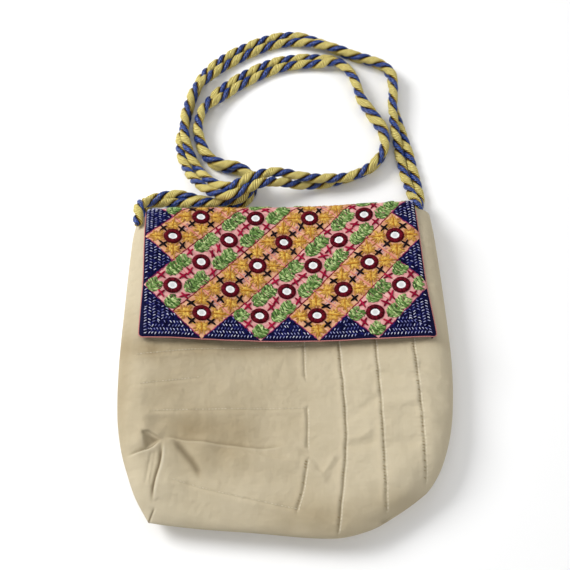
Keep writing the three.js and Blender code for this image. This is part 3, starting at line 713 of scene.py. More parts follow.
v, u = np.meshgrid(stations(FRONT_STEPS, towards_bottom), stations(FRONT_STEPS, near_lines), indexing="ij")
front_x, front_y = panel_plan(u, v, FRONT_MOUTH_Y)
front_z, front_painted_light = front_form(front_x, front_y)
near_mouth = smoothstep((front_y - MOUTH_PULL_FROM_Y) / (FRONT_MOUTH_Y - MOUTH_PULL_FROM_Y))
pulled_y = front_y - MOUTH_PULL * pressed(front_x) * near_mouth
front = add_wall("quilted_front", np.stack([front_x, pulled_y, front_z], -1),
                 np.stack([front_x, front_y], -1), WALL, 1, level_edges=True)
# the front's shade value carries painted shade above 0 and painted highlight below 0
add_value(front, "shade", front_painted_light)
add_value(front, "soil_and_shade", soil_and_shade(front_x, front_y))
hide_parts("front_panel")


# %% Back panel
BACK_STEPS = 120
BACK_GAIN = 5


def back_height(x, y):
    """Flat on the table, and up to the seam round the rim."""
    return (SEAM_HEIGHT - SEAM_GAP / 2) * (1 - rim_share(x, y, BACK_ROUND, BACK_ROUND))


down = stations(BACK_STEPS, lambda v: 1 + BACK_GAIN * np.exp(-(1 - v) / 0.05))
across = stations(BACK_STEPS, lambda u: near_ends(u, BACK_GAIN))
v, u = np.meshgrid(down, across, indexing="ij")
back_x, back_y = panel_plan(u, v, BACK_MOUTH_Y)
back = add_wall("plain_back", np.stack([back_x, back_y, back_height(back_x, back_y)], -1),
                np.stack([back_x, back_y], -1), WALL, -1, level_edges=True)
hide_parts("back_panel")

# %% [markdown]
# ## Flap
#
# The flap is sewn inside the back panel's top edge, comes up over the mouth in a soft fold and lies on
# the front. It follows the front's smooth form, so its formula is that height plus the clearance and its
# own thickness. Past the fold line the face turns down on half an ellipse.

# %% Flap surface
FLAP_THICK = 3.0
FLAP_CLEAR = 0.6
FLAP_LIFT = 2.5
FLAP_LIFT_MIDDLE = 2.5
FLAP_LIFT_LENGTH = 40.0
FLAP_HALF = 111.2
FLAP_FLARE = 2.2
FLAP_FLARE_LENGTH = 60.0
FLAP_BOTTOM_Y = 8.0
FLAP_LEAN = -0.052
FLAP_LEAN_ZERO_Y = 44.0
FLAP_CORNER = 3.0
FOLD_Y = 124.0
FOLD_REACH = 13.5
FLAP_TAIL = 10.0
FLAP_TAIL_TAPER = 12.0
GRID_PITCH = 45.0
GRID_Y = 75.2
FOLD_LENGTH = np.pi * FOLD_REACH
FOLD_PULL = 4.5
FOLD_PULL_LENGTH = 40.0
FOLD_PRESS = 4.0
FLAP_STEPS = (180, 220)
FLAP_EDGE_ROLL = 1.2
FLAP_EDGE_ROUND = 2.5
SMALL_STEP = 0.4


def flap_centre(y):
    """Middle of the flap at y: it leans a little to one side."""
    return FLAP_LEAN * (np.minimum(y, FOLD_Y) - FLAP_LEAN_ZERO_Y)


def grid_lean(y):
    """How far the embroidered grid, which is straight on the cloth, has slipped sideways at y."""
    return FLAP_LEAN * (np.minimum(y, FOLD_Y) - GRID_Y)


FLAP_MIDDLE = FLAP_LEAN * (GRID_Y - FLAP_LEAN_ZERO_Y)  # middle of the flap in the embroidered grid


def flared_half(p):
    """Half the width at a distance p up from the bottom edge, a little more towards the bottom."""
    return FLAP_HALF + FLAP_FLARE * smoothstep(1 - p / FLAP_FLARE_LENGTH)


def flap_half(p):
    """Half the width with rounded corners at the bottom and a narrower tail past the fold."""
    corner = FLAP_CORNER * (1 - rounded(p, FLAP_CORNER))
    past_fold = p - (FOLD_Y - FLAP_BOTTOM_Y) - FOLD_LENGTH / 2
    return flared_half(p) - corner - FLAP_TAIL_TAPER * smoothstep(past_fold / (FOLD_LENGTH / 2))


def flap_relief(x, y):
    """Low relief of the stitched cloth: shallow grooves along the lines between the diamonds, of depth
    times exp(-distance / reach), and soft waves."""
    to_line = np.full(np.shape(x), FAR)
    for lean in (1, -1):
        place = (x - grid_lean(y) + lean * (y - GRID_Y)) / GRID_PITCH
        to_line = np.minimum(to_line, np.abs(place - np.round(place)) * GRID_PITCH / np.sqrt(2))
    return cloth_waves(x, y, 11, 7, 22, 60, 0.3) - 0.5 * np.exp(-to_line / 1.6)


def flap_face(x, y):
    """Outer face of the flap. Up to the fold line y is the place in plan; past it y goes on as the
    length of the arc, and the face turns down on half an ellipse."""
    flat_y = np.minimum(y, FOLD_Y)
    near_bottom = np.maximum(1 - (flat_y - FLAP_BOTTOM_Y) / FLAP_LIFT_LENGTH, 0) ** 2
    lift = (FLAP_LIFT + FLAP_LIFT_MIDDLE * middle_share(x)) * near_bottom
    share = rim_share(x, flat_y, FRONT_ROUND, BOTTOM_ROUND)
    cloth = SEAM_HEIGHT + (front_smooth(x, flat_y) - SEAM_HEIGHT) * share
    relief = flap_relief(x, y) * smoothstep((FOLD_Y + 30 - y) / 20)
    high = cloth + FLAP_CLEAR + lift + FLAP_THICK + relief - press_depth(x, y)
    low = WALL + SEAM_GAP
    rise = (high - low) / 2
    turn = np.pi * np.clip((y - FOLD_Y) / FOLD_LENGTH, 0, 1)
    tail = np.maximum(y - FOLD_Y - FOLD_LENGTH, 0)
    pull = FOLD_PULL * pressed(x) * smoothstep((y - FOLD_Y) / FOLD_PULL_LENGTH + 1)
    reach = (FOLD_REACH - FOLD_PRESS * pressed(x)) * np.sin(turn)
    return np.stack([x, flat_y - pull + reach - tail, low + rise + rise * np.cos(turn)], -1)


def on_flap(grid_x, y, height):
    """The place at a height above the flap's outer face, for places in the embroidered grid. The height
    is along the normal: the cross product of a small step across and a small step up the face."""
    x = grid_x + grid_lean(y)
    across = flap_face(x + SMALL_STEP, y) - flap_face(x - SMALL_STEP, y)
    up = flap_face(x, y + SMALL_STEP) - flap_face(x, y - SMALL_STEP)
    return flap_face(x, y) + unit(np.cross(across, up)) * np.asarray(height)[..., None]


flap_length = FOLD_Y - FLAP_BOTTOM_Y + FOLD_LENGTH + FLAP_TAIL
up = FLAP_BOTTOM_Y + flap_length * stations(FLAP_STEPS[0], lambda t: 1 + 2 * np.exp(-t / 0.03))
p, s = np.meshgrid(up, 2 * stations(FLAP_STEPS[1], near_ends) - 1, indexing="ij")
flap_x = flap_centre(p) + s * flap_half(p - FLAP_BOTTOM_Y)
edge = np.minimum((1 - np.abs(s)) * FLAP_HALF, p - FLAP_BOTTOM_Y)
flap_points = flap_face(flap_x, p)
flap_points[..., 2] -= FLAP_EDGE_ROLL * (1 - rounded(edge, FLAP_EDGE_ROUND)) * (p < FOLD_Y)
flap_uv = np.stack([flap_x - grid_lean(p), p - GRID_Y], -1)
flap = add_wall("embroidered_flap", flap_points, flap_uv, FLAP_THICK, -1)
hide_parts("flap")

# %% [markdown]
# ## Piping
#
# A thin cord is sewn round the flap's three free edges. A bevelled curve would give the same tube, but
# rings of points along a line can take their height straight from the flap's formula.

# %% Piping
PIPING_RADIUS = 0.42
PIPING_GAP = -0.15
PIPING_TOP_Y = 122.0
PIPING_SPACE = 2.0
PIPING_SEAT_IN = 1.0
PIPING_STEPS = 420


def piping_line():
    """Down the left edge of the flap, round its corner, along the bottom and up the right edge."""
    out = PIPING_RADIUS + PIPING_GAP
    corner_y = FLAP_BOTTOM_Y + FLAP_CORNER
    corner_x = flap_centre(corner_y)
    corner_half = flared_half(FLAP_CORNER) - FLAP_CORNER
    side_y = np.linspace(PIPING_TOP_Y, corner_y + PIPING_SPACE, 60)
    turn = np.linspace(0, np.pi / 2, 14)
    half = np.concatenate([flared_half(side_y - FLAP_BOTTOM_Y) + out,
                           corner_half + (FLAP_CORNER + out) * np.cos(turn)])
    half_y = np.concatenate([side_y, corner_y - (FLAP_CORNER + out) * np.sin(turn)])
    centre = np.concatenate([flap_centre(side_y), np.full(len(turn), corner_x)])
    along_x = corner_x + np.linspace(-corner_half + PIPING_SPACE, corner_half - PIPING_SPACE, 120)
    x = np.concatenate([centre - half, along_x, (centre + half)[::-1]])
    y = np.concatenate([half_y, np.full(len(along_x), FLAP_BOTTOM_Y - out), half_y[::-1]])
    inside = flared_half(y - FLAP_BOTTOM_Y) - PIPING_SEAT_IN
    seat_x = np.clip(x, flap_centre(y) - inside, flap_centre(y) + inside)
    height = flap_face(seat_x, np.maximum(y, FLAP_BOTTOM_Y))[..., 2] - FLAP_THICK / 2
    return np.stack([x, y, height], -1)


def add_tube(name, line, radius, sides):
    """A round tube along a line, with its ends closed."""
    line, length = evenly(line, PIPING_STEPS)
    ahead = unit(np.gradient(line, axis=0))
    side = unit(np.cross(ahead, (0, 0, 1)))
    down = np.cross(ahead, side)
    angle = 2 * np.pi * np.arange(sides)[:, None] / sides
    away = side[:, None] * np.cos(angle) + down[:, None] * np.sin(angle)
    points = np.vstack([(line[:, None] + radius * away).reshape(-1, 3), line[[0, -1]]])
    squares, square_uv, fans, fan_uv = tube_faces(len(line), sides, 0)
    scale = np.array([length / PIPING_STEPS, 2 * np.pi * radius / sides])
    return add_piece(name, points, [squares, fans], [square_uv * scale, fan_uv * scale])


piping = add_tube("flap_piping_cord", piping_line(), PIPING_RADIUS, 12)
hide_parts("flap_piping")

# %% [markdown]
# ## Mirrors and their collars
#
# Each mirror is a small glass disc that no glue holds: a collar of thread is worked over its edge. The
# discs and the rings under the threads are profiles turned round an axis, all 22 in one array, and each
# is set on the flap with its axis along the flap's normal.

# %% Mirrors
MIRROR_SQUASH = 0.95
MIRROR_ROWS = ((1, 4), (2, 5), (3, 4), (4, 5), (5, 4))
MIDDLE_ROW = 3
SEAT_STEP = 3.5
DISC_SIDES = 32
DISC_TILT = 0.012


def row_centres(rows):
    """Centres of the diamonds in rows, from pairs of a row's number and its count of diamonds."""
    return np.array([((k - (count - 1) / 2) * GRID_PITCH, GRID_Y - (row - MIDDLE_ROW) * GRID_PITCH / 2)
                     for row, count in rows for k in range(count)])


mirror_centres = row_centres(MIRROR_ROWS)
mirror_numbers = [f"{k:02d}" for k in range(1, len(mirror_centres) + 1)]


def seats(centres):
    """Middle, and two directions in the flap's face and one out of it, at each centre."""
    x, y = centres[:, 0] + grid_lean(centres[:, 1]), centres[:, 1]
    across = unit(flap_face(x + SEAT_STEP, y) - flap_face(x - SEAT_STEP, y))
    normal = unit(np.cross(across, flap_face(x, y + SEAT_STEP) - flap_face(x, y - SEAT_STEP)))
    return flap_face(x, y), across, np.cross(normal, across), normal


def turned(profile, sides, tilt):
    """A closed profile (radius, height) turned round the axis at every mirror. Angle and place on the
    profile are the two parameters; the height gains tilt times the place across and up. The first and
    last profile points lie on the axis or meet. Returns points, faces and the UV of their corners."""
    middle, across, up, normal = seats(mirror_centres)
    r, h = np.asarray(profile, float).T
    angle = 2 * np.pi * np.arange(sides) / sides
    px, py = r[:, None] * np.cos(angle), MIRROR_SQUASH * r[:, None] * np.sin(angle)
    ph = h[:, None] + (tilt[:, 0, None, None] * px + tilt[:, 1, None, None] * py)
    points = (middle[:, None, None] + across[:, None, None] * px[None, ..., None]
              + up[:, None, None] * py[None, ..., None] + normal[:, None, None] * ph[..., None])
    one = ring_squares(len(r), sides)[0]
    faces = (one[None] + (np.arange(len(middle)) * len(r) * sides)[:, None, None]).reshape(-1, 4)
    flat = np.stack([px, py], -1).reshape(-1, 2)
    return points, faces, np.tile(flat[one], (len(middle), 1, 1))


disc = [(0.02, 0.1), (4.45, 0.1), (4.6, 0.2), (4.55, 0.4), (4.35, 0.5), (3.2, 0.56), (1.6, 0.6),
        (0.02, 0.61)]
tilt = np.random.default_rng(21).normal(0, DISC_TILT, (len(mirror_centres), 2))
points, faces, uv = turned(disc, DISC_SIDES, tilt)
mirrors = add_piece("mirror_glass_discs", points, [faces], [uv])
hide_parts(*[f"mirror_{k}" for k in mirror_numbers])

# %% Ring under each collar's threads
RING_SIDES = 40
RING_FOOT = (4.9, 0.25)
RING_SHADE = 0.15
turn = np.linspace(0, np.pi, 9)
crest = np.stack([5.4 + 1.85 * np.cos(turn), 0.35 + np.sin(turn) + 0.25 * (1 - np.cos(turn))], -1)
points, faces, uv = turned([RING_FOOT, *crest, RING_FOOT], RING_SIDES, np.zeros_like(tilt))
collars = add_piece("collar_rings", points, [faces], [uv], np.full(points.size // 3, RING_SHADE))
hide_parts(*[f"mirror_collar_{k}" for k in mirror_numbers])

# %% [markdown]
# ## Stitches
#
# All the embroidery is thread that lies on the cloth from one needle hole to the next. One stitch is a
# small lozenge of 17 points: a tip, three rings of five points and a tip. A function takes the ends of
# thousands of stitches as arrays and sets every point on the flap at once, so each colour of thread is
# one mesh. A flat pattern of colours would be lighter, but real threads catch the light.

# %% One stitch, many times
RING_PLACE = np.array([0.14, 0.5, 0.86])
RING_SIZE = np.array([0.74, 1.0, 0.74])
RING_ANGLE = np.radians([205, 148, 90, 32, -25])
RING_POINTS = len(RING_ANGLE)
RINGS = len(RING_PLACE)
TIP = RINGS * RING_POINTS
STITCH_POINTS = TIP + 2


def stitch_faces(count):
    """Squares between the three rings and triangles to the two tips, repeated for every stitch."""
    j = np.arange(RING_POINTS)
    after = (j + 1) % RING_POINTS
    last = TIP - RING_POINTS
    squares = np.concatenate([np.stack([k + j, k + RING_POINTS + j, k + RING_POINTS + after, k + after], -1)
                              for k in range(0, last, RING_POINTS)])
    fans = np.concatenate([np.stack([np.full(RING_POINTS, TIP), j, after], -1),
                           np.stack([np.full(RING_POINTS, TIP + 1), last + after, last + j], -1)])
    first = (np.arange(count) * STITCH_POINTS)[:, None, None]
    return (squares + first).reshape(-1, 4), (fans + first).reshape(-1, 3)


def add_stitches(name, raised, start, end, width, height, shade, foot=(0.0, 0.0), arch=0.0):
    """Stitches from start to end, places on a surface. A ring point lies width / 2 times the cosine of
    its angle to the side and height times the sine up, over a line that rises from foot to foot with an
    arch of 4 t (1 - t)."""
    count = len(start)
    width, height, shade = (np.broadcast_to(np.asarray(w, float), count) for w in (width, height, shade))
    step = end - start
    length = np.linalg.norm(step, axis=1)
    side = np.stack([-step[:, 1], step[:, 0]], -1) / length[:, None]
    t = np.concatenate([np.repeat(RING_PLACE, RING_POINTS), [0.0, 1.0]])
    size = np.concatenate([np.repeat(RING_SIZE, RING_POINTS), [0.0, 0.0]])
    wide = np.concatenate([np.tile(np.cos(RING_ANGLE), RINGS), [0.0, 0.0]]) * size
    high = np.concatenate([np.tile(np.sin(RING_ANGLE), RINGS), [0.0, 0.0]]) * size
    place = (start[:, None] + step[:, None] * t[None, :, None]
             + side[:, None] * (width[:, None] / 2 * wide)[..., None])
    lift = (foot[0] * (1 - t) + foot[1] * t + arch * 4 * t * (1 - t))[None] + height[:, None] * high
    points = raised(place[..., 0], place[..., 1], lift)
    squares, fans = stitch_faces(count)
    around = np.concatenate([np.tile(np.arange(RING_POINTS) * 0.4, RINGS), [0.8, 0.8]])
    uv = np.stack([length[:, None] * t, width[:, None] * around], -1).reshape(-1, 2)
    return add_piece(name, points, [squares, fans], [uv[squares], uv[fans]], np.repeat(shade, STITCH_POINTS))


stitched = []
rng = np.random.default_rng(5)


def sew(name, start, end, width, height, shade=None, slot="embroidery", **sitting):
    """Stitches on the flap as one mesh, with seeded shades where none are given."""
    if shade is None:
        shade = rng.uniform(0, 1, len(start))
    piece = add_stitches(name, on_flap, start, end, width, height, shade, **sitting)
    stitched.append(piece)


def round_trip(angle):
    """Directions (cosine, sine) for angles."""
    return np.stack([np.cos(angle), np.sin(angle)], -1)


# %% Threads of the collars
COLLAR_STITCHES = 46
COLLAR_INSIDE = 3.45
COLLAR_OUTSIDE = 7.5
COLLAR_SLANT = 0.10


def on_collar(angle, radius, least, most):
    """Places round each mirror, at a radius times a seeded share from least to most."""
    out = round_trip(angle) * (radius * rng.uniform(least, most, angle.shape))[..., None]
    return (mirror_centres[:, None] + out * (1, MIRROR_SQUASH)).reshape(-1, 2)


uneven = rng.uniform(-0.25, 0.25, (len(mirror_centres), COLLAR_STITCHES))
angle = 2 * np.pi * (np.arange(COLLAR_STITCHES) + uneven) / COLLAR_STITCHES
start = on_collar(angle, COLLAR_INSIDE, 0.96, 1.06)
end = on_collar(angle + COLLAR_SLANT, COLLAR_OUTSIDE, 0.97, 1.03)
sew("collar_threads", start, end, 1.05, 0.42, slot="collar_thread", foot=(1.4, 0.1), arch=0.9)

# %% [markdown]
# ## Embroidered diamonds
#
# The flap is a grid of diamonds in stripes that climb to the right, gold and green by turns. Each one in
# front of the fold has a mirror in the middle and four crosses round it. A gold diamond has a sprig of
# fingers in each corner. Two green neighbours share a leaf of satin stitches, which run from its edge to
# its vein, so a leaf is a list of vein places and the slanted lines that meet there. The border is filled
# with navy thread and flecks of a pale one, which also stand for painted glints on the glossy navy thread.

# %% Which diamond a place lies in
EMBROIDERED_TO_Y = FOLD_Y + 22
# the border lies where the sum of a diamond's numbers, plus 1, is past the side limit, or where their
# difference is below the low limit
SIDE_LIMIT = 4.5
LOW_LIMIT = -2.5
MIRRORS_BELOW_Y = 130.0


def diamond_of(x, y):
    """Numbers a and b of the diamond: the whole part of (x + y) / pitch and of (x - y) / pitch, with y
    from the middle row. The centre is at ((a + b + 1) / 2, (a - b) / 2) pitches."""
    a = np.floor((x + y - GRID_Y) / GRID_PITCH)
    b = np.floor((x - y + GRID_Y) / GRID_PITCH)
    return a, b


def in_border(x, y):
    """True outside the diamonds: left and right of the outermost, below the last row, past the fold."""
    a, b = diamond_of(x, y)
    return (np.abs(a + b + 1) > SIDE_LIMIT) | (a - b < LOW_LIMIT) | (y > EMBROIDERED_TO_Y)


all_centres = row_centres(((0, 5), *MIRROR_ROWS))
gold_of = diamond_of(all_centres[:, 0], all_centres[:, 1])[1] % 2 == 1
has_mirror = all_centres[:, 1] < MIRRORS_BELOW_Y
print("gold diamonds:", int(gold_of.sum()), "green diamonds:", int((~gold_of).sum()))


def keep_visible(start, end):
    """True for stitches with both ends on the stitched part of the flap, and not past the fold's back."""
    keep = np.ones(len(start), bool)
    for place in (start, end):
        keep &= np.abs(place[:, 0] - FLAP_MIDDLE) < FLAP_HALF - 1.0
        keep &= (place[:, 1] < EMBROIDERED_TO_Y) & (place[:, 1] > FLAP_BOTTOM_Y + 0.8)
    return keep


def leaf(centres, place, axis, vein, half_width, slant, parts):
    """Satin stitches of one leaf at each centre. place is the middle of the leaf, axis the direction of
    its vein and vein the places along it. From each place a line runs to both sides, half_width there
    across and slant along; it is sewn in parts that overlap. Returns starts, ends and shares across."""
    axis = np.asarray(axis, float) / np.hypot(*axis)
    left = np.array([-axis[1], axis[0]])
    shape = (len(centres), len(vein))
    cuts = np.linspace(0, 1, parts + 1)
    lines = []
    for side in (-1, 1):
        for low, high in zip(cuts[:-1], cuts[1:]):
            wobble = rng.normal(0, 0.32, shape + (2, 2))
            first = low - 0.1 + rng.uniform(-0.05, 0.05, shape)
            last = high + 0.06 + rng.uniform(-0.06, 0.04, shape)
            ends = []
            for k, share in enumerate((first, last)):
                on = (vein + slant * share)[..., None] * axis + (side * half_width * share)[..., None] * left
                ends.append((centres[:, None] + np.asarray(place) + on + wobble[:, :, k]).reshape(-1, 2))
            lines.append((*ends, np.full(first.size, (low + high) / 2)))
    return [np.concatenate(column) for column in zip(*lines)]


def sew_leaves(name, leaves, width, height, shade_of, **sitting):
    """One mesh from many leaves: the stitches on the visible part of the flap, uneven in width, with
    shades that shade_of makes from their shares."""
    start, end, share = (np.concatenate(column) for column in zip(*leaves))
    keep = keep_visible(start, end)
    widths = width * rng.uniform(0.85, 1.15, keep.sum())
    sew(name, start[keep], end[keep], widths, height, shade_of(share[keep]), **sitting)


# %% Gold sprigs
CORNERS = ((0, 1), (0, -1), (1, 0), (-1, 0))
SPRIG_BASE = 12.2
SPRIG_ANGLES = np.radians(np.linspace(-165, 165, 23))
SPRIG_LENGTHS = 4.9 + 3.0 * np.cos(2.9 * SPRIG_ANGLES) ** 2 + 2.0 * bell(SPRIG_ANGLES / 0.35)


def sprig(centres, axis, low, high):
    """Stitches that spread like fingers from a base on the axis, each over a share low to high of its
    length. Fingers are longest outwards. Returns starts, ends and the share along the finger."""
    heading = np.arctan2(axis[1], axis[0]) + SPRIG_ANGLES
    heading = heading + rng.normal(0, 0.07, (len(centres), len(SPRIG_ANGLES)))
    finger = round_trip(heading) * (SPRIG_LENGTHS * rng.uniform(0.85, 1.1, heading.shape))[..., None]
    base = (centres + np.asarray(axis) * SPRIG_BASE)[:, None]
    start, end = base + finger * low, base + finger * high
    return start.reshape(-1, 2), end.reshape(-1, 2), np.full(heading.size, (low + high) / 2)


def darker_outwards(share):
    """Shades that fall along the finger, each a little uneven."""
    return np.clip(1.0 - share + rng.normal(0, 0.2, len(share)), 0, 1)


gold = all_centres[gold_of]
leaves = [sprig(gold, way, *part) for part in ((0.5, 1.0), (0.08, 0.62)) for way in CORNERS]
sew_leaves("gold_leaves", leaves, 1.3, 0.5, darker_outwards, arch=0.3)
vein = np.array([8.4, 11.4, 14.4])
veins = [leaf(gold, (0, 0), way, vein, np.zeros(len(vein)), 4.0, 1) for way in CORNERS]
sew_leaves("gold_veins", veins, 0.8, 0.4, lambda share: rng.uniform(0, 0.6, len(share)),
           foot=(0.5, 0.5), arch=0.25)

# %% Green leaves
GREEN_LENGTH = 12.0
GREEN_HALF_WIDTH = 5.9
# where the middle of each shared leaf lies from the mirror, and which half of it is sewn from there
GREEN_HALVES = (((18.4, 4.1), -1), ((-4.1, -18.4), 1), ((4.1, 18.4), -1), ((-18.4, -4.1), 1))
green = all_centres[~gold_of]
vein = np.arange(0.5, GREEN_LENGTH - 0.6, 0.8)
wide = GREEN_HALF_WIDTH * np.sqrt(1 - ((vein - 5.2) / 7.0) ** 2)
leaves = [leaf(green, place, (1, 1), way * vein - 1.0, wide, 2.0, 2) for place, way in GREEN_HALVES]
sew_leaves("green_leaves", leaves, 1.15, 0.75,
           lambda share: np.clip(rng.normal(0.5, 0.3, len(share)), 0, 1), arch=0.3)


# %% Crosses
def cross_stitches(centres, out, arm, spread):
    """Two stitches over each other at the four diagonal places round a centre, a little uneven."""
    sign = np.array([(1, 1), (-1, 1), (1, -1), (-1, -1)], float)
    at = centres[:, None] + sign * out + rng.normal(0, 0.35, (len(centres), 4, 2))
    lean = np.array([np.pi / 4, -np.pi / 4]) + rng.normal(0, spread, (len(centres), 4, 2))
    half = round_trip(lean) * (arm * rng.uniform(0.85, 1.12, lean.shape))[..., None]
    return (at[:, :, None] - half).reshape(-1, 2), (at[:, :, None] + half).reshape(-1, 2)


start, end = cross_stitches(all_centres[gold_of & has_mirror], (7.6, 8.0), 4.6, 0.14)
keep = keep_visible(start, end)
sew("black_crosses", start[keep], end[keep], 2.0, 0.65, foot=(0.3, 0.3), arch=0.5)
start, end = cross_stitches(all_centres[~gold_of & has_mirror], (8.7, 8.4), 4.7, 0.22)
keep = keep_visible(start, end)
sew("crimson_crosses", start[keep], end[keep], 2.0, 0.6, foot=(0.3, 0.3), arch=0.5)


# %% Lines between the diamonds
RUN_STITCH = 2.6
RUN_OVERLAP = 0.12
BESIDE_SPACING = 1.7
BESIDE_LENGTH = 2.6


def sewn_run(start, end):
    """Stitches of about the same length, one after another from start to end."""
    start, end = np.asarray(start, float), np.asarray(end, float)
    count = max(int(round(np.linalg.norm(end - start) / RUN_STITCH)), 1)
    points = start + (end - start) * np.linspace(0, 1, count + 1)[:, None]
    over = (points[1:] - points[:-1]) * RUN_OVERLAP
    return points[:-1] - over, points[1:] + over


HALF = GRID_PITCH / 2
a, b = (number.ravel() for number in np.meshgrid(np.arange(-4, 6), np.arange(-5, 5), indexing="ij"))
rising, falling, rim = [], [], []
for x, y in zip(HALF * (a + b + 1), GRID_Y + HALF * (a - b)):
    lower_right = ((x, y - HALF), (x + HALF, y))
    lower_left = ((x - HALF, y), (x, y - HALF))
    for ends, away, store in ((lower_right, (1, -1), rising), (lower_left, (-1, -1), falling)):
        middle = np.mean(ends, axis=0)
        here, there = (in_border(*(middle + side * np.array(away) * 2)) for side in (-1, 1))
        if not (here and there):
            (rim if here != there else store).append(sewn_run(*ends))


def add_runs(name, runs, width, height):
    """One mesh from many runs, each stitch a little out of line."""
    start, end = (np.vstack(side) for side in zip(*runs))
    keep = keep_visible(start, end)
    jitter = rng.normal(0, 0.12, (keep.sum(), 2))
    sew(name, start[keep] + jitter, end[keep] + jitter, width, height, arch=0.15)


def beside_lines(runs, gap, count):
    """Short stitches on both sides of the middle of each run, square to it and a gap away from it."""
    first, last = (np.array([run[k][row] for run in runs]) for k, row in ((0, 0), (1, -1)))
    ahead = unit(last - first)
    across = np.repeat(np.stack([-ahead[:, 1], ahead[:, 0]], -1), count, axis=0)
    length = np.linalg.norm(last - first, axis=1).mean()
    place = (np.arange(count) - (count - 1) / 2) * BESIDE_SPACING / length + 0.5
    middle = (first[:, None] + (last - first)[:, None] * place[None, :, None]).reshape(-1, 2)
    starts = np.vstack([middle + side * across * gap for side in (1, -1)])
    ends = np.vstack([middle + side * across * (gap + BESIDE_LENGTH) for side in (1, -1)])
    return starts + rng.normal(0, 0.3, starts.shape), ends + rng.normal(0, 0.3, ends.shape)


gold_side = [run for run in falling if diamond_of(*(run[0].mean(0) + (0.5, 0.5)))[1] % 2 == 1]
start, end = beside_lines(gold_side, 0.8, 4)
keep = keep_visible(start, end)
sew("lilac_stitches", start[keep], end[keep], 1.2, 0.4, arch=0.15)
add_runs("stripe_lines", rising, 1.25, 0.5)
add_runs("diamond_lines", falling, 0.8, 0.35)
add_runs("border_lines", rim, 1.2, 0.5)


# %% Navy border
BORDER_FROM = 1.6
BORDER_DEPTH = 24.0
BORDER_HALF = 112.0


def border_rows(along, depth):
    """Places in rows beside the flap's edges: along the bottom, and up the left and right sides. Each
    place has the number of its row and its directions along the row and away from the edge."""
    d = np.arange(BORDER_FROM, BORDER_DEPTH, depth)
    places = np.arange(-BORDER_HALF, BORDER_HALF + 0.1, along)
    row, x = np.meshgrid(np.arange(len(d)), places, indexing="ij")
    rows = [(x + (row % 2) * along / 2, FLAP_BOTTOM_Y + d[row], row, (1, 0), (0, 1))]
    places = np.arange(FLAP_BOTTOM_Y, EMBROIDERED_TO_Y, along)
    row, y = np.meshgrid(np.arange(len(d)), places, indexing="ij")
    y = y + (row % 2) * along / 2
    for side in (-1, 1):
        rows.append((FLAP_MIDDLE + side * (FLAP_HALF - d[row]), y, row, (0, 1), (-side, 0)))
    parts = []
    for k, (x, y, row, ahead, away) in enumerate(rows):
        x, y, row = x.ravel(), y.ravel(), row.ravel()
        low = y - FLAP_BOTTOM_Y
        beside = FLAP_HALF - np.abs(x - FLAP_MIDDLE)
        keep = in_border(x, y) & ((low < beside) if k == 0 else (low >= beside))
        parts.append((np.stack([x, y], -1)[keep], row[keep], np.tile(ahead, (keep.sum(), 1)),
                      np.tile(away, (keep.sum(), 1))))
    return [np.concatenate(column) for column in zip(*parts)]


def slanted(at, row, ahead, away, length, lean):
    """A stitch across its row, leaning to alternate sides from row to row."""
    swing = np.where(row % 2 == 0, lean, -lean) + rng.normal(0, 0.08, len(row))
    heading = np.cos(swing)[:, None] * away + np.sin(swing)[:, None] * ahead
    half = heading * (length * rng.uniform(0.9, 1.1, len(row)) / 2)[:, None]
    return at - half, at + half


at, row, ahead, away = border_rows(1.45, 2.3)
start, end = slanted(at + rng.normal(0, 0.12, at.shape), row, ahead, away, 3.3, 0.6)
keep = keep_visible(start, end) & in_border(*start.T) & in_border(*end.T)
sew("navy_border", start[keep], end[keep], 1.35, 0.55, arch=0.2)

# %% Pale flecks on the navy border: pale thread and painted glints on the glossy navy thread
FLECK_MARGIN = 0.9
FLECKS_MISSING = 0.1
at, row, ahead, away = border_rows(2.5, 3.3)
at = at + away * FLECK_MARGIN
start, end = slanted(at + rng.normal(0, 0.15, at.shape), row, ahead, away, 2.5, 0.5)
keep = (keep_visible(start, end) & in_border(*(start - FLECK_MARGIN * away).T)
        & in_border(*(end + FLECK_MARGIN * away).T) & (rng.uniform(0, 1, len(row)) > FLECKS_MISSING))
bright = np.where(row < 2, rng.uniform(0.4, 1, len(row)), rng.uniform(0, 1, len(row)))
# pale flecks: pale thread that also stands for painted glints on the glossy navy thread
sew("pale_flecks_and_glints", start[keep], end[keep], 0.7, 0.42, bright[keep], foot=(0.5, 0.5), arch=0.4)

# %% [markdown]
# ## Quilting stitches
#
# A row of small stitches runs beside each groove of the front, and short dark ones cross the deepest
# seams. They come from the same function as the embroidery, set on the front's face instead of the flap's.

# %% Quilting stitches
UPRIGHT_DEPTH = 0.6
DEEP_SEAM = 0.87
SEAM_TO_Y = 12.0
SEAM_STITCH = 2.4
SEAM_BESIDE = 0.9
CROSSING_SPACING = 2.3
CROSSINGS_SEWN = 0.75


def front_raised(x, y, height):
    """The place at a height above the front face, straight up."""
    return np.stack([x, y, front_form(x, y)[0] + height], -1)


def along_line(points, spacing):
    """Places about every spacing along a quilting line, the step from each to the next, and the
    direction to its left."""
    line = line_points(points, spacing)
    step = np.diff(line, axis=0)
    return line[:-1], step, unit(np.stack([-step[:, 1], step[:, 0]], -1))


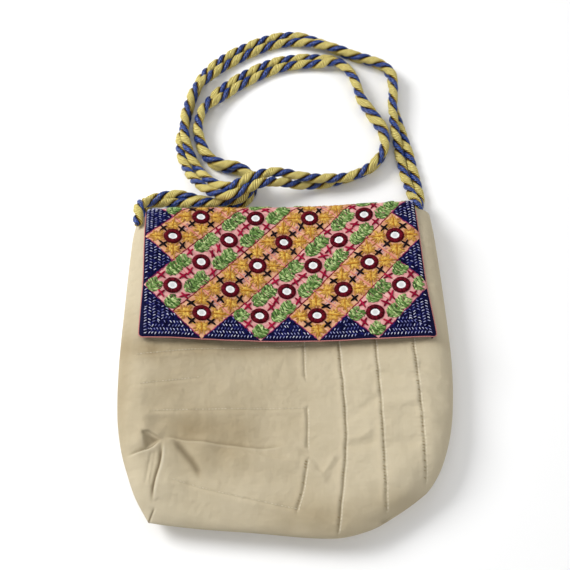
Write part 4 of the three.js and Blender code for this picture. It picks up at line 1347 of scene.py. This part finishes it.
rows = []
for points, depth, *_ in QUILT_LINES:
    at, step, left = along_line(points, SEAM_STITCH)
    upright = depth > UPRIGHT_DEPTH
    shades = rng.uniform(0.75, 1, len(at)) if upright else rng.uniform(0.4, 0.8, len(at))
    widths = np.full(len(at), 0.7 if upright else 0.55)
    at = at + left * SEAM_BESIDE
    rows.append((at + step * 0.1, at + step * 0.9, widths, shades))
    if depth > DEEP_SEAM:
        # short dark stitches that cross the deepest seams
        at, step, left = along_line(points, CROSSING_SPACING)
        taken = rng.uniform(0, 1, len(at)) < CROSSINGS_SEWN
        reach = rng.uniform(1.2, 2.4, len(at))[:, None]
        rows.append(((at - left * reach)[taken], (at + left * 0.2 + step * 0.2)[taken],
                     np.full(taken.sum(), 0.75), rng.uniform(0, 0.25, taken.sum())))
start, end, widths, shades = (np.concatenate(column) for column in zip(*rows))
keep = np.maximum(start[:, 1], end[:, 1]) < SEAM_TO_Y
quilt_stitches = add_stitches("quilting_stitches", front_raised, start[keep], end[keep], widths[keep], 0.25,
                              shades[keep], foot=(-0.05, -0.05), arch=0.15)

# %% [markdown]
# ## Finishes
#
# Three effects are used by several finishes, so each is a node group built once: the twist of a thread,
# the weave of plain cotton, and soft mottling. A group puts out only heights and tones; the shader itself
# stays in each material, with the values that are the same all over set on its own sockets.

# %% Node helpers
RAMP_PLACES = (0.05, 0.5, 0.95)


def srgb(red, green, blue):
    """Shader colour from 0-255 values: ((v / 255 + 0.055) / 1.055) to the power 2.4."""
    value = np.array([red, green, blue]) / 255
    linear = np.where(value <= 0.04045, value / 12.92, ((value + 0.055) / 1.055) ** 2.4)
    return (*[float(w) for w in linear], 1.0)


class Nodes:
    """A node tree with short calls: add makes a node and sets or links its inputs."""

    def __init__(self, tree):
        self.tree = tree

    def put(self, socket, value):
        """Links another node's output to an input, or sets the input's own value."""
        if isinstance(value, bpy.types.NodeSocket):
            self.tree.links.new(value, socket)
        else:
            socket.default_value = value

    def add(self, kind, inputs=None, **settings):
        """A node of a kind, with its settings and inputs."""
        node = self.tree.nodes.new(kind)
        for key, value in settings.items():
            setattr(node, key, value)
        for key, value in (inputs or {}).items():
            self.put(node.inputs[key], value)
        return node

    def math(self, operation, *values):
        """Result of a sum, a product or another operation on values."""
        return self.add("ShaderNodeMath", dict(enumerate(values)), operation=operation).outputs[0]

    def mix(self, share, first, second):
        """Colour between first and second; a colour mix has its inputs at 0, 6 and 7."""
        inputs = {0: share, 6: first, 7: second}
        return self.add("ShaderNodeMix", inputs, data_type="RGBA").outputs[2]

    def point_value(self, label):
        """The number that each point of the piece carries under a label."""
        return self.add("ShaderNodeAttribute", attribute_name=label).outputs["Fac"]

    def three_tones(self, share, dark, middle, light):
        """Colour from a ramp of three 0-255 colours."""
        ramp = self.add("ShaderNodeValToRGB", {"Fac": share})
        ramp.color_ramp.elements.new(0.5)
        for element, place, colour in zip(ramp.color_ramp.elements, RAMP_PLACES, (dark, middle, light)):
            element.position = place
            element.color = srgb(*colour)
        return ramp.outputs["Color"]


def new_group(name, inputs, outputs):
    """An empty shader node group with named sockets: (name, kind, value) in, (name, kind) out."""
    tree = bpy.data.node_groups.new(name, "ShaderNodeTree")
    for label, kind, value in inputs:
        socket = tree.interface.new_socket(name=label, in_out="INPUT", socket_type=kind)
        if value is not None:
            socket.default_value = value
    for label, kind in outputs:
        tree.interface.new_socket(name=label, in_out="OUTPUT", socket_type=kind)
    return tree, Nodes(tree), tree.nodes.new("NodeGroupInput"), tree.nodes.new("NodeGroupOutput")


# %% Shared groups
FLOAT, VECTOR = "NodeSocketFloat", "NodeSocketVector"
FULL_TURN = 6.2832
HALF_TURN = 3.1416

twist_group, n, into, out_of = new_group(
    "Thread twist", [("Vector", VECTOR, None), ("Turns", FLOAT, 1.2), ("Slant", FLOAT, 1.4)],
    [("Height", FLOAT), ("Tone", FLOAT)])
place = n.add("ShaderNodeSeparateXYZ", {0: into.outputs["Vector"]})
phase = n.math("ADD", n.math("MULTIPLY", place.outputs[0], into.outputs["Turns"]),
               n.math("MULTIPLY", place.outputs[1], into.outputs["Slant"]))
wave = n.math("SINE", n.math("MULTIPLY", phase, FULL_TURN))
fibre = n.add("ShaderNodeTexNoise", {"Vector": into.outputs["Vector"], "Scale": 3.0, "Detail": 3.0})
height = n.math("ADD", n.math("MULTIPLY", wave, 0.5), n.math("MULTIPLY", fibre.outputs["Fac"], 0.6))
twist_group.links.new(height, out_of.inputs["Height"])
tone = n.math("ADD", n.math("MULTIPLY", wave, 0.22), fibre.outputs["Fac"])
twist_group.links.new(n.add("ShaderNodeClamp", {0: tone}).outputs[0], out_of.inputs["Tone"])

weave_group, n, into, out_of = new_group(
    "Cotton weave", [("Vector", VECTOR, None), ("Threads per mm", FLOAT, 1.5)],
    [("Height", FLOAT), ("Tone", FLOAT)])
place = n.add("ShaderNodeSeparateXYZ", {0: into.outputs["Vector"]})
turn = n.math("MULTIPLY", into.outputs["Threads per mm"], HALF_TURN)
over = n.math("SINE", n.math("MULTIPLY", place.outputs[0], turn))
under = n.math("SINE", n.math("MULTIPLY", place.outputs[1], turn))
checks = n.math("MULTIPLY", over, under)
slub = []
for stretch in ((0.06, 1.6, 1.0), (1.6, 0.06, 1.0)):
    mapped = n.add("ShaderNodeMapping", {"Vector": into.outputs["Vector"], "Scale": stretch})
    noise = n.add("ShaderNodeTexNoise", {"Vector": mapped.outputs[0], "Scale": 1.0, "Detail": 2.0})
    slub.append(noise.outputs["Fac"])
slubs = n.math("MULTIPLY", n.math("ADD", slub[0], slub[1]), 0.5)
height = n.math("ADD", n.math("MULTIPLY", checks, 0.35), n.math("MULTIPLY", slubs, 1.2))
weave_group.links.new(height, out_of.inputs["Height"])
weave_group.links.new(slubs, out_of.inputs["Tone"])

mottle_group, n, into, out_of = new_group(
    "Soft mottling", [("Vector", VECTOR, None), ("Size", FLOAT, 30.0)], [("Mask", FLOAT)])
scaled = n.add("ShaderNodeVectorMath", {0: into.outputs["Vector"]}, operation="SCALE")
mottle_group.links.new(n.math("DIVIDE", 1.0, into.outputs["Size"]), scaled.inputs["Scale"])
noise = n.add("ShaderNodeTexNoise",
              {"Vector": scaled.outputs[0], "Scale": 1.0, "Detail": 4.0, "Roughness": 0.55})
soft = n.add("ShaderNodeMapRange", {"Value": noise.outputs["Fac"], "From Min": 0.3, "From Max": 0.7})
mottle_group.links.new(soft.outputs["Result"], out_of.inputs["Mask"])
print("node groups:", [g.name for g in bpy.data.node_groups])


# %% Material helper
def new_material(name, **constants):
    """A material with a Principled BSDF whose constant values are set on its own sockets. Returns the
    material, its nodes, the shader and the piece's UV map in mm."""
    material = bpy.data.materials.new(name)
    material.use_nodes = True
    n = Nodes(material.node_tree)
    shader = material.node_tree.nodes["Principled BSDF"]
    for key, value in constants.items():
        shader.inputs[key.replace("_", " ")].default_value = value
    return material, n, shader, n.add("ShaderNodeUVMap", uv_map="UVMap").outputs["UV"]


def finish_with(n, shader, colour, height, strength, distance=0.0002):
    """Links a colour and a bump made from a height."""
    n.tree.links.new(colour, shader.inputs["Base Color"])
    bump = n.add("ShaderNodeBump", {"Strength": strength, "Distance": distance, "Height": height})
    n.tree.links.new(bump.outputs["Normal"], shader.inputs["Normal"])


def use_group(n, group, vector, **values):
    """A node of a shared group that works on a vector. Returns its outputs."""
    node = n.add("ShaderNodeGroup", node_tree=group)
    n.tree.links.new(vector, node.inputs["Vector"])
    for key, value in values.items():
        node.inputs[key].default_value = value
    return node.outputs


def dress(piece, *materials):
    """Gives a piece its materials, one per slot."""
    for material in materials:
        piece.data.materials.append(material)


# %% [markdown]
# ## Cloth and thread
#
# The cotton is off-white, mottled and full of small wrinkles, and darker and browner in places, partly
# from soil and partly from painted shade: mottling of three sizes changes its colour and its bump, and
# the painted shade and painted highlight of creases and seams darken or lighten it. The flap's ground is
# pink, peach or navy, by the same sums that place the diamonds. A thread goes from dark to light with its
# stitch's own shade and with its fibres.

# %% Quilted cotton
cotton, n, shader, uv = new_material("quilted_cotton", Roughness=0.9, Specular_IOR_Level=0.15)
weave = use_group(n, weave_group, uv)
wide = use_group(n, mottle_group, uv, Size=55.0)["Mask"]
fine = use_group(n, mottle_group, uv, Size=8.0)["Mask"]
wrinkles = use_group(n, mottle_group, uv, Size=22.0)["Mask"]
colour = n.mix(n.math("MULTIPLY", wide, 0.5), srgb(205, 193, 167), srgb(192, 179, 150))
colour = n.mix(n.math("MULTIPLY", fine, 0.22), colour, srgb(210, 200, 176))
colour = n.mix(n.math("MULTIPLY", weave["Tone"], 0.3), colour, srgb(180, 166, 134))
# soil, and painted shade under the flap's edge and on the rims, darken the cotton towards brown
uneven_soil_and_shade = n.math("ADD", 0.75, n.math("MULTIPLY", wide, 0.5))
colour = n.mix(n.math("MULTIPLY", n.point_value("soil_and_shade"), uneven_soil_and_shade), colour, srgb(138, 118, 82))
# painted shade: creases, seams and the pocket darken the cotton towards brown; painted highlight: crease
# ridges and the cloth beside seams turn paler
painted_light_tone = n.point_value("shade")
colour = n.mix(n.math("MULTIPLY", painted_light_tone, 0.85), colour, srgb(80, 64, 36))
colour = n.mix(n.math("MULTIPLY", painted_light_tone, -1.0), colour, srgb(232, 224, 202))
height = n.math("ADD", n.math("MULTIPLY", fine, 1.8), n.math("MULTIPLY", wrinkles, 4.2))
finish_with(n, shader, colour, n.math("ADD", weave["Height"], height), 0.7, 0.0004)
dress(front, cotton)
dress(back, cotton)

cotton_thread, n, shader, uv = new_material("cotton_thread", Roughness=0.75, Specular_IOR_Level=0.2)
twist = use_group(n, twist_group, uv)
colour = n.mix(n.point_value("shade"), srgb(146, 128, 90), srgb(226, 218, 196))
finish_with(n, shader, colour, twist["Height"], 0.4)
dress(quilt_stitches, cotton_thread)

# %% Ground of the flap
ground, n, shader, uv = new_material("flap_ground", Roughness=0.85, Specular_IOR_Level=0.1)
place = n.add("ShaderNodeSeparateXYZ", {0: uv})
across, up = (n.math("DIVIDE", place.outputs[k], GRID_PITCH) for k in (0, 1))
a = n.math("FLOOR", n.math("ADD", across, up))
b = n.math("FLOOR", n.math("SUBTRACT", across, up))
from_middle = n.math("ABSOLUTE", n.math("ADD", n.math("ADD", a, b), 1.0))
beside = n.math("GREATER_THAN", from_middle, SIDE_LIMIT)
below = n.math("LESS_THAN", n.math("SUBTRACT", a, b), LOW_LIMIT)
behind = n.math("GREATER_THAN", place.outputs[1], EMBROIDERED_TO_Y - GRID_Y)
border = n.math("MAXIMUM", n.math("MAXIMUM", beside, below), behind)
weave = use_group(n, weave_group, uv)
spots = use_group(n, mottle_group, uv, Size=4.0)["Mask"]
peach = n.mix(spots, srgb(186, 122, 84), srgb(222, 176, 142))
pink = n.mix(spots, srgb(190, 118, 120), srgb(228, 178, 172))
colour = n.mix(n.math("FLOORED_MODULO", b, 2.0), pink, peach)
colour = n.mix(border, colour, srgb(10, 10, 48))
finish_with(n, shader, colour, weave["Height"], 0.5)
dress(flap, ground)

# %% Threads
# material, its dark, middle and light colour, roughness and gloss
THREAD_COLOURS = {
    "collar_threads": ("maroon_thread", (52, 2, 10), (92, 8, 24), (124, 18, 40), 0.5, 0.06),
    "gold_leaves": ("gold_thread", (156, 98, 46), (202, 154, 66), (238, 206, 98), 0.45, 0.15),
    "gold_veins": ("amber_thread", (164, 104, 34), (196, 136, 46), (226, 176, 66), 0.5, 0.06),
    "green_leaves": ("green_thread", (18, 40, 10), (90, 130, 55), (220, 238, 168), 0.4, 0.2),
    "black_crosses": ("black_thread", (10, 4, 8), (20, 10, 16), (42, 26, 32), 0.55, 0.06),
    "crimson_crosses": ("crimson_thread", (98, 4, 32), (146, 12, 48), (184, 36, 72), 0.5, 0.06),
    "stripe_lines": ("dark_rose_thread", (92, 16, 32), (132, 32, 48), (170, 62, 74), 0.5, 0.06),
    "diamond_lines": ("rose_thread", (184, 78, 92), (206, 104, 108), (226, 140, 136), 0.55, 0.06),
    "lilac_stitches": ("lilac_thread", (160, 104, 120), (198, 150, 158), (222, 184, 190), 0.5, 0.06),
    "border_lines": ("plum_thread", (96, 20, 76), (138, 40, 92), (190, 82, 124), 0.5, 0.06),
    "navy_border": ("navy_thread", (3, 3, 36), (12, 14, 62), (30, 34, 102), 0.45, 0.06),
    "pale_flecks_and_glints": ("pale_thread_and_glints", (78, 82, 150), (150, 154, 206), (246, 247, 255), 0.4, 0.06),
}


def thread_material(name, dark, middle, light, roughness, gloss):
    """Thread whose colour goes from dark to light with the stitch's own shade and with its fibres."""
    material, n, shader, uv = new_material(name, Roughness=roughness, Specular_IOR_Level=gloss)
    twist = use_group(n, twist_group, uv)
    own, fibres = n.math("MULTIPLY", n.point_value("shade"), 0.7), n.math("MULTIPLY", twist["Tone"], 0.3)
    colour = n.three_tones(n.math("ADD", own, fibres), dark, middle, light)
    finish_with(n, shader, colour, twist["Height"], 0.5)
    return material


threads = {name: thread_material(*values) for name, values in THREAD_COLOURS.items()}
for piece in stitched:
    dress(piece, threads[piece.name])
dress(collars, threads["collar_threads"])

# %% [markdown]
# ## Glass, piping and rope
#
# The mirrors are greyer in the middle and smudged all over, so their colour and roughness vary. The piping
# is a thin twisted cord. A rope's yarns run nearly along it: their crests are painted pale, and painted
# shade darkens them between each other and where a strand turns under the other one, which the shade of
# each point tells. On the blue yarn the pale end stands for a painted satin highlight.

# %% Mirror glass and piping
silver, n, shader, uv = new_material("mirror_silver", Metallic=1.0)
smudge = use_group(n, mottle_group, uv, Size=2.5)["Mask"]
from_middle = n.add("ShaderNodeVectorMath", {0: uv}, operation="LENGTH").outputs["Value"]
# the glass's colour is greyer in the middle
greyer_in_middle = n.add("ShaderNodeMapRange", {"Value": from_middle, "From Min": 1.2, "From Max": 3.2})
colour = n.mix(greyer_in_middle.outputs["Result"], srgb(196, 198, 198), srgb(244, 244, 244))
colour = n.mix(n.math("MULTIPLY", smudge, 0.25), colour, srgb(206, 208, 206))
n.put(shader.inputs["Base Color"], colour)
n.put(shader.inputs["Roughness"], n.math("ADD", 0.12, n.math("MULTIPLY", smudge, 0.18)))
dress(mirrors, silver)

salmon, n, shader, uv = new_material("salmon_piping", Roughness=0.7, Specular_IOR_Level=0.15)
twist = use_group(n, twist_group, uv, Turns=0.5, Slant=0.6)
finish_with(n, shader, n.mix(twist["Tone"], srgb(166, 92, 98), srgb(216, 148, 142)), twist["Height"], 0.5)
dress(piping, salmon)


# %% Rope yarns
def yarn_material(name, colours, roughness, gloss, bump):
    """Yarns that run nearly along the rope, with painted shade between them and where the strand turns
    under.
    """
    material, n, shader, uv = new_material(name, Roughness=roughness, Specular_IOR_Level=gloss)
    twist = use_group(n, twist_group, uv, Turns=0.3, Slant=0.3)
    # painted shade and painted highlight: the colour is darker where the twist is low and paler on its
    # crests
    yarn_painted_shade = n.math("ADD", 0.3, n.math("MULTIPLY", twist["Height"], 0.95))
    colour = n.three_tones(n.math("MULTIPLY", n.point_value("shade"), yarn_painted_shade), *colours)
    finish_with(n, shader, colour, twist["Height"], bump, 0.0006)
    return material


yellow = yarn_material("yellow_yarn", ((74, 50, 12), (224, 194, 90), (255, 246, 164)), 0.6, 0.15, 0.9)
# the light blue end of this ramp stands for a painted satin highlight
blue = yarn_material("blue_yarn", ((1, 2, 12), (8, 16, 62), (52, 90, 184)), 0.26, 0.5, 0.5)
for piece in (rope_a, rope_b):
    dress(piece, yellow, blue)
print("materials:", len(bpy.data.materials))

# %% [markdown]
# ## Floor and light
#
# The bag lies on a plain pale floor. A large soft light from the upper left models the folds: the side of
# the sag that faces it is bright and the other is darker. The white world fills the shadows.

# %% Floor and light
FLOOR_HALF = 3.0
corners = [(-1, -1, 0), (1, -1, 0), (1, 1, 0), (-1, 1, 0)]
floor_mesh = bpy.data.meshes.new("floor")
floor_mesh.from_pydata(np.array(corners) * FLOOR_HALF, [], [(0, 1, 2, 3)])
floor = bpy.data.objects.new("floor", floor_mesh)
bpy.context.collection.objects.link(floor)
pale, _, shader, _ = new_material("pale_floor", Roughness=0.9, Specular_IOR_Level=0.1)
shader.inputs["Base Color"].default_value = (0.96, 0.96, 0.96, 1)
dress(floor, pale)


def soft_light(name, place, aim, size, watts):
    """A square area light at a place, turned to its aim."""
    data = bpy.data.lights.new(name, "AREA")
    data.shape = "SQUARE"
    data.size = size
    data.energy = watts
    lamp = bpy.data.objects.new(name, data)
    lamp.location = place
    lamp.rotation_euler = (Vector(aim) - Vector(place)).to_track_quat("-Z", "Y").to_euler()
    bpy.context.collection.objects.link(lamp)


soft_light("key_light", (-1.05, 0.45, 1.0), (0, 0.05, 0), 0.7, 20)
soft_light("overhead", (0, 0.85, 1.3), (0, 0.1, 0), 1.3, 5)
soft_light("front_fill", (-0.2, -1.0, 1.2), (0, 0, 0), 1.2, 5)
soft_light("right_fill", (1.2, 0.1, 0.9), (0, 0, 0), 1.2, 4)
world = bpy.data.worlds.new("studio")
world.use_nodes = True
background = world.node_tree.nodes["Background"]
background.inputs["Color"].default_value = (1, 1, 1, 1)
background.inputs["Strength"].default_value = 0.26
bpy.context.scene.world = world
bpy.context.scene.view_settings.view_transform = "Standard"
print("lights:", len(bpy.data.lights))
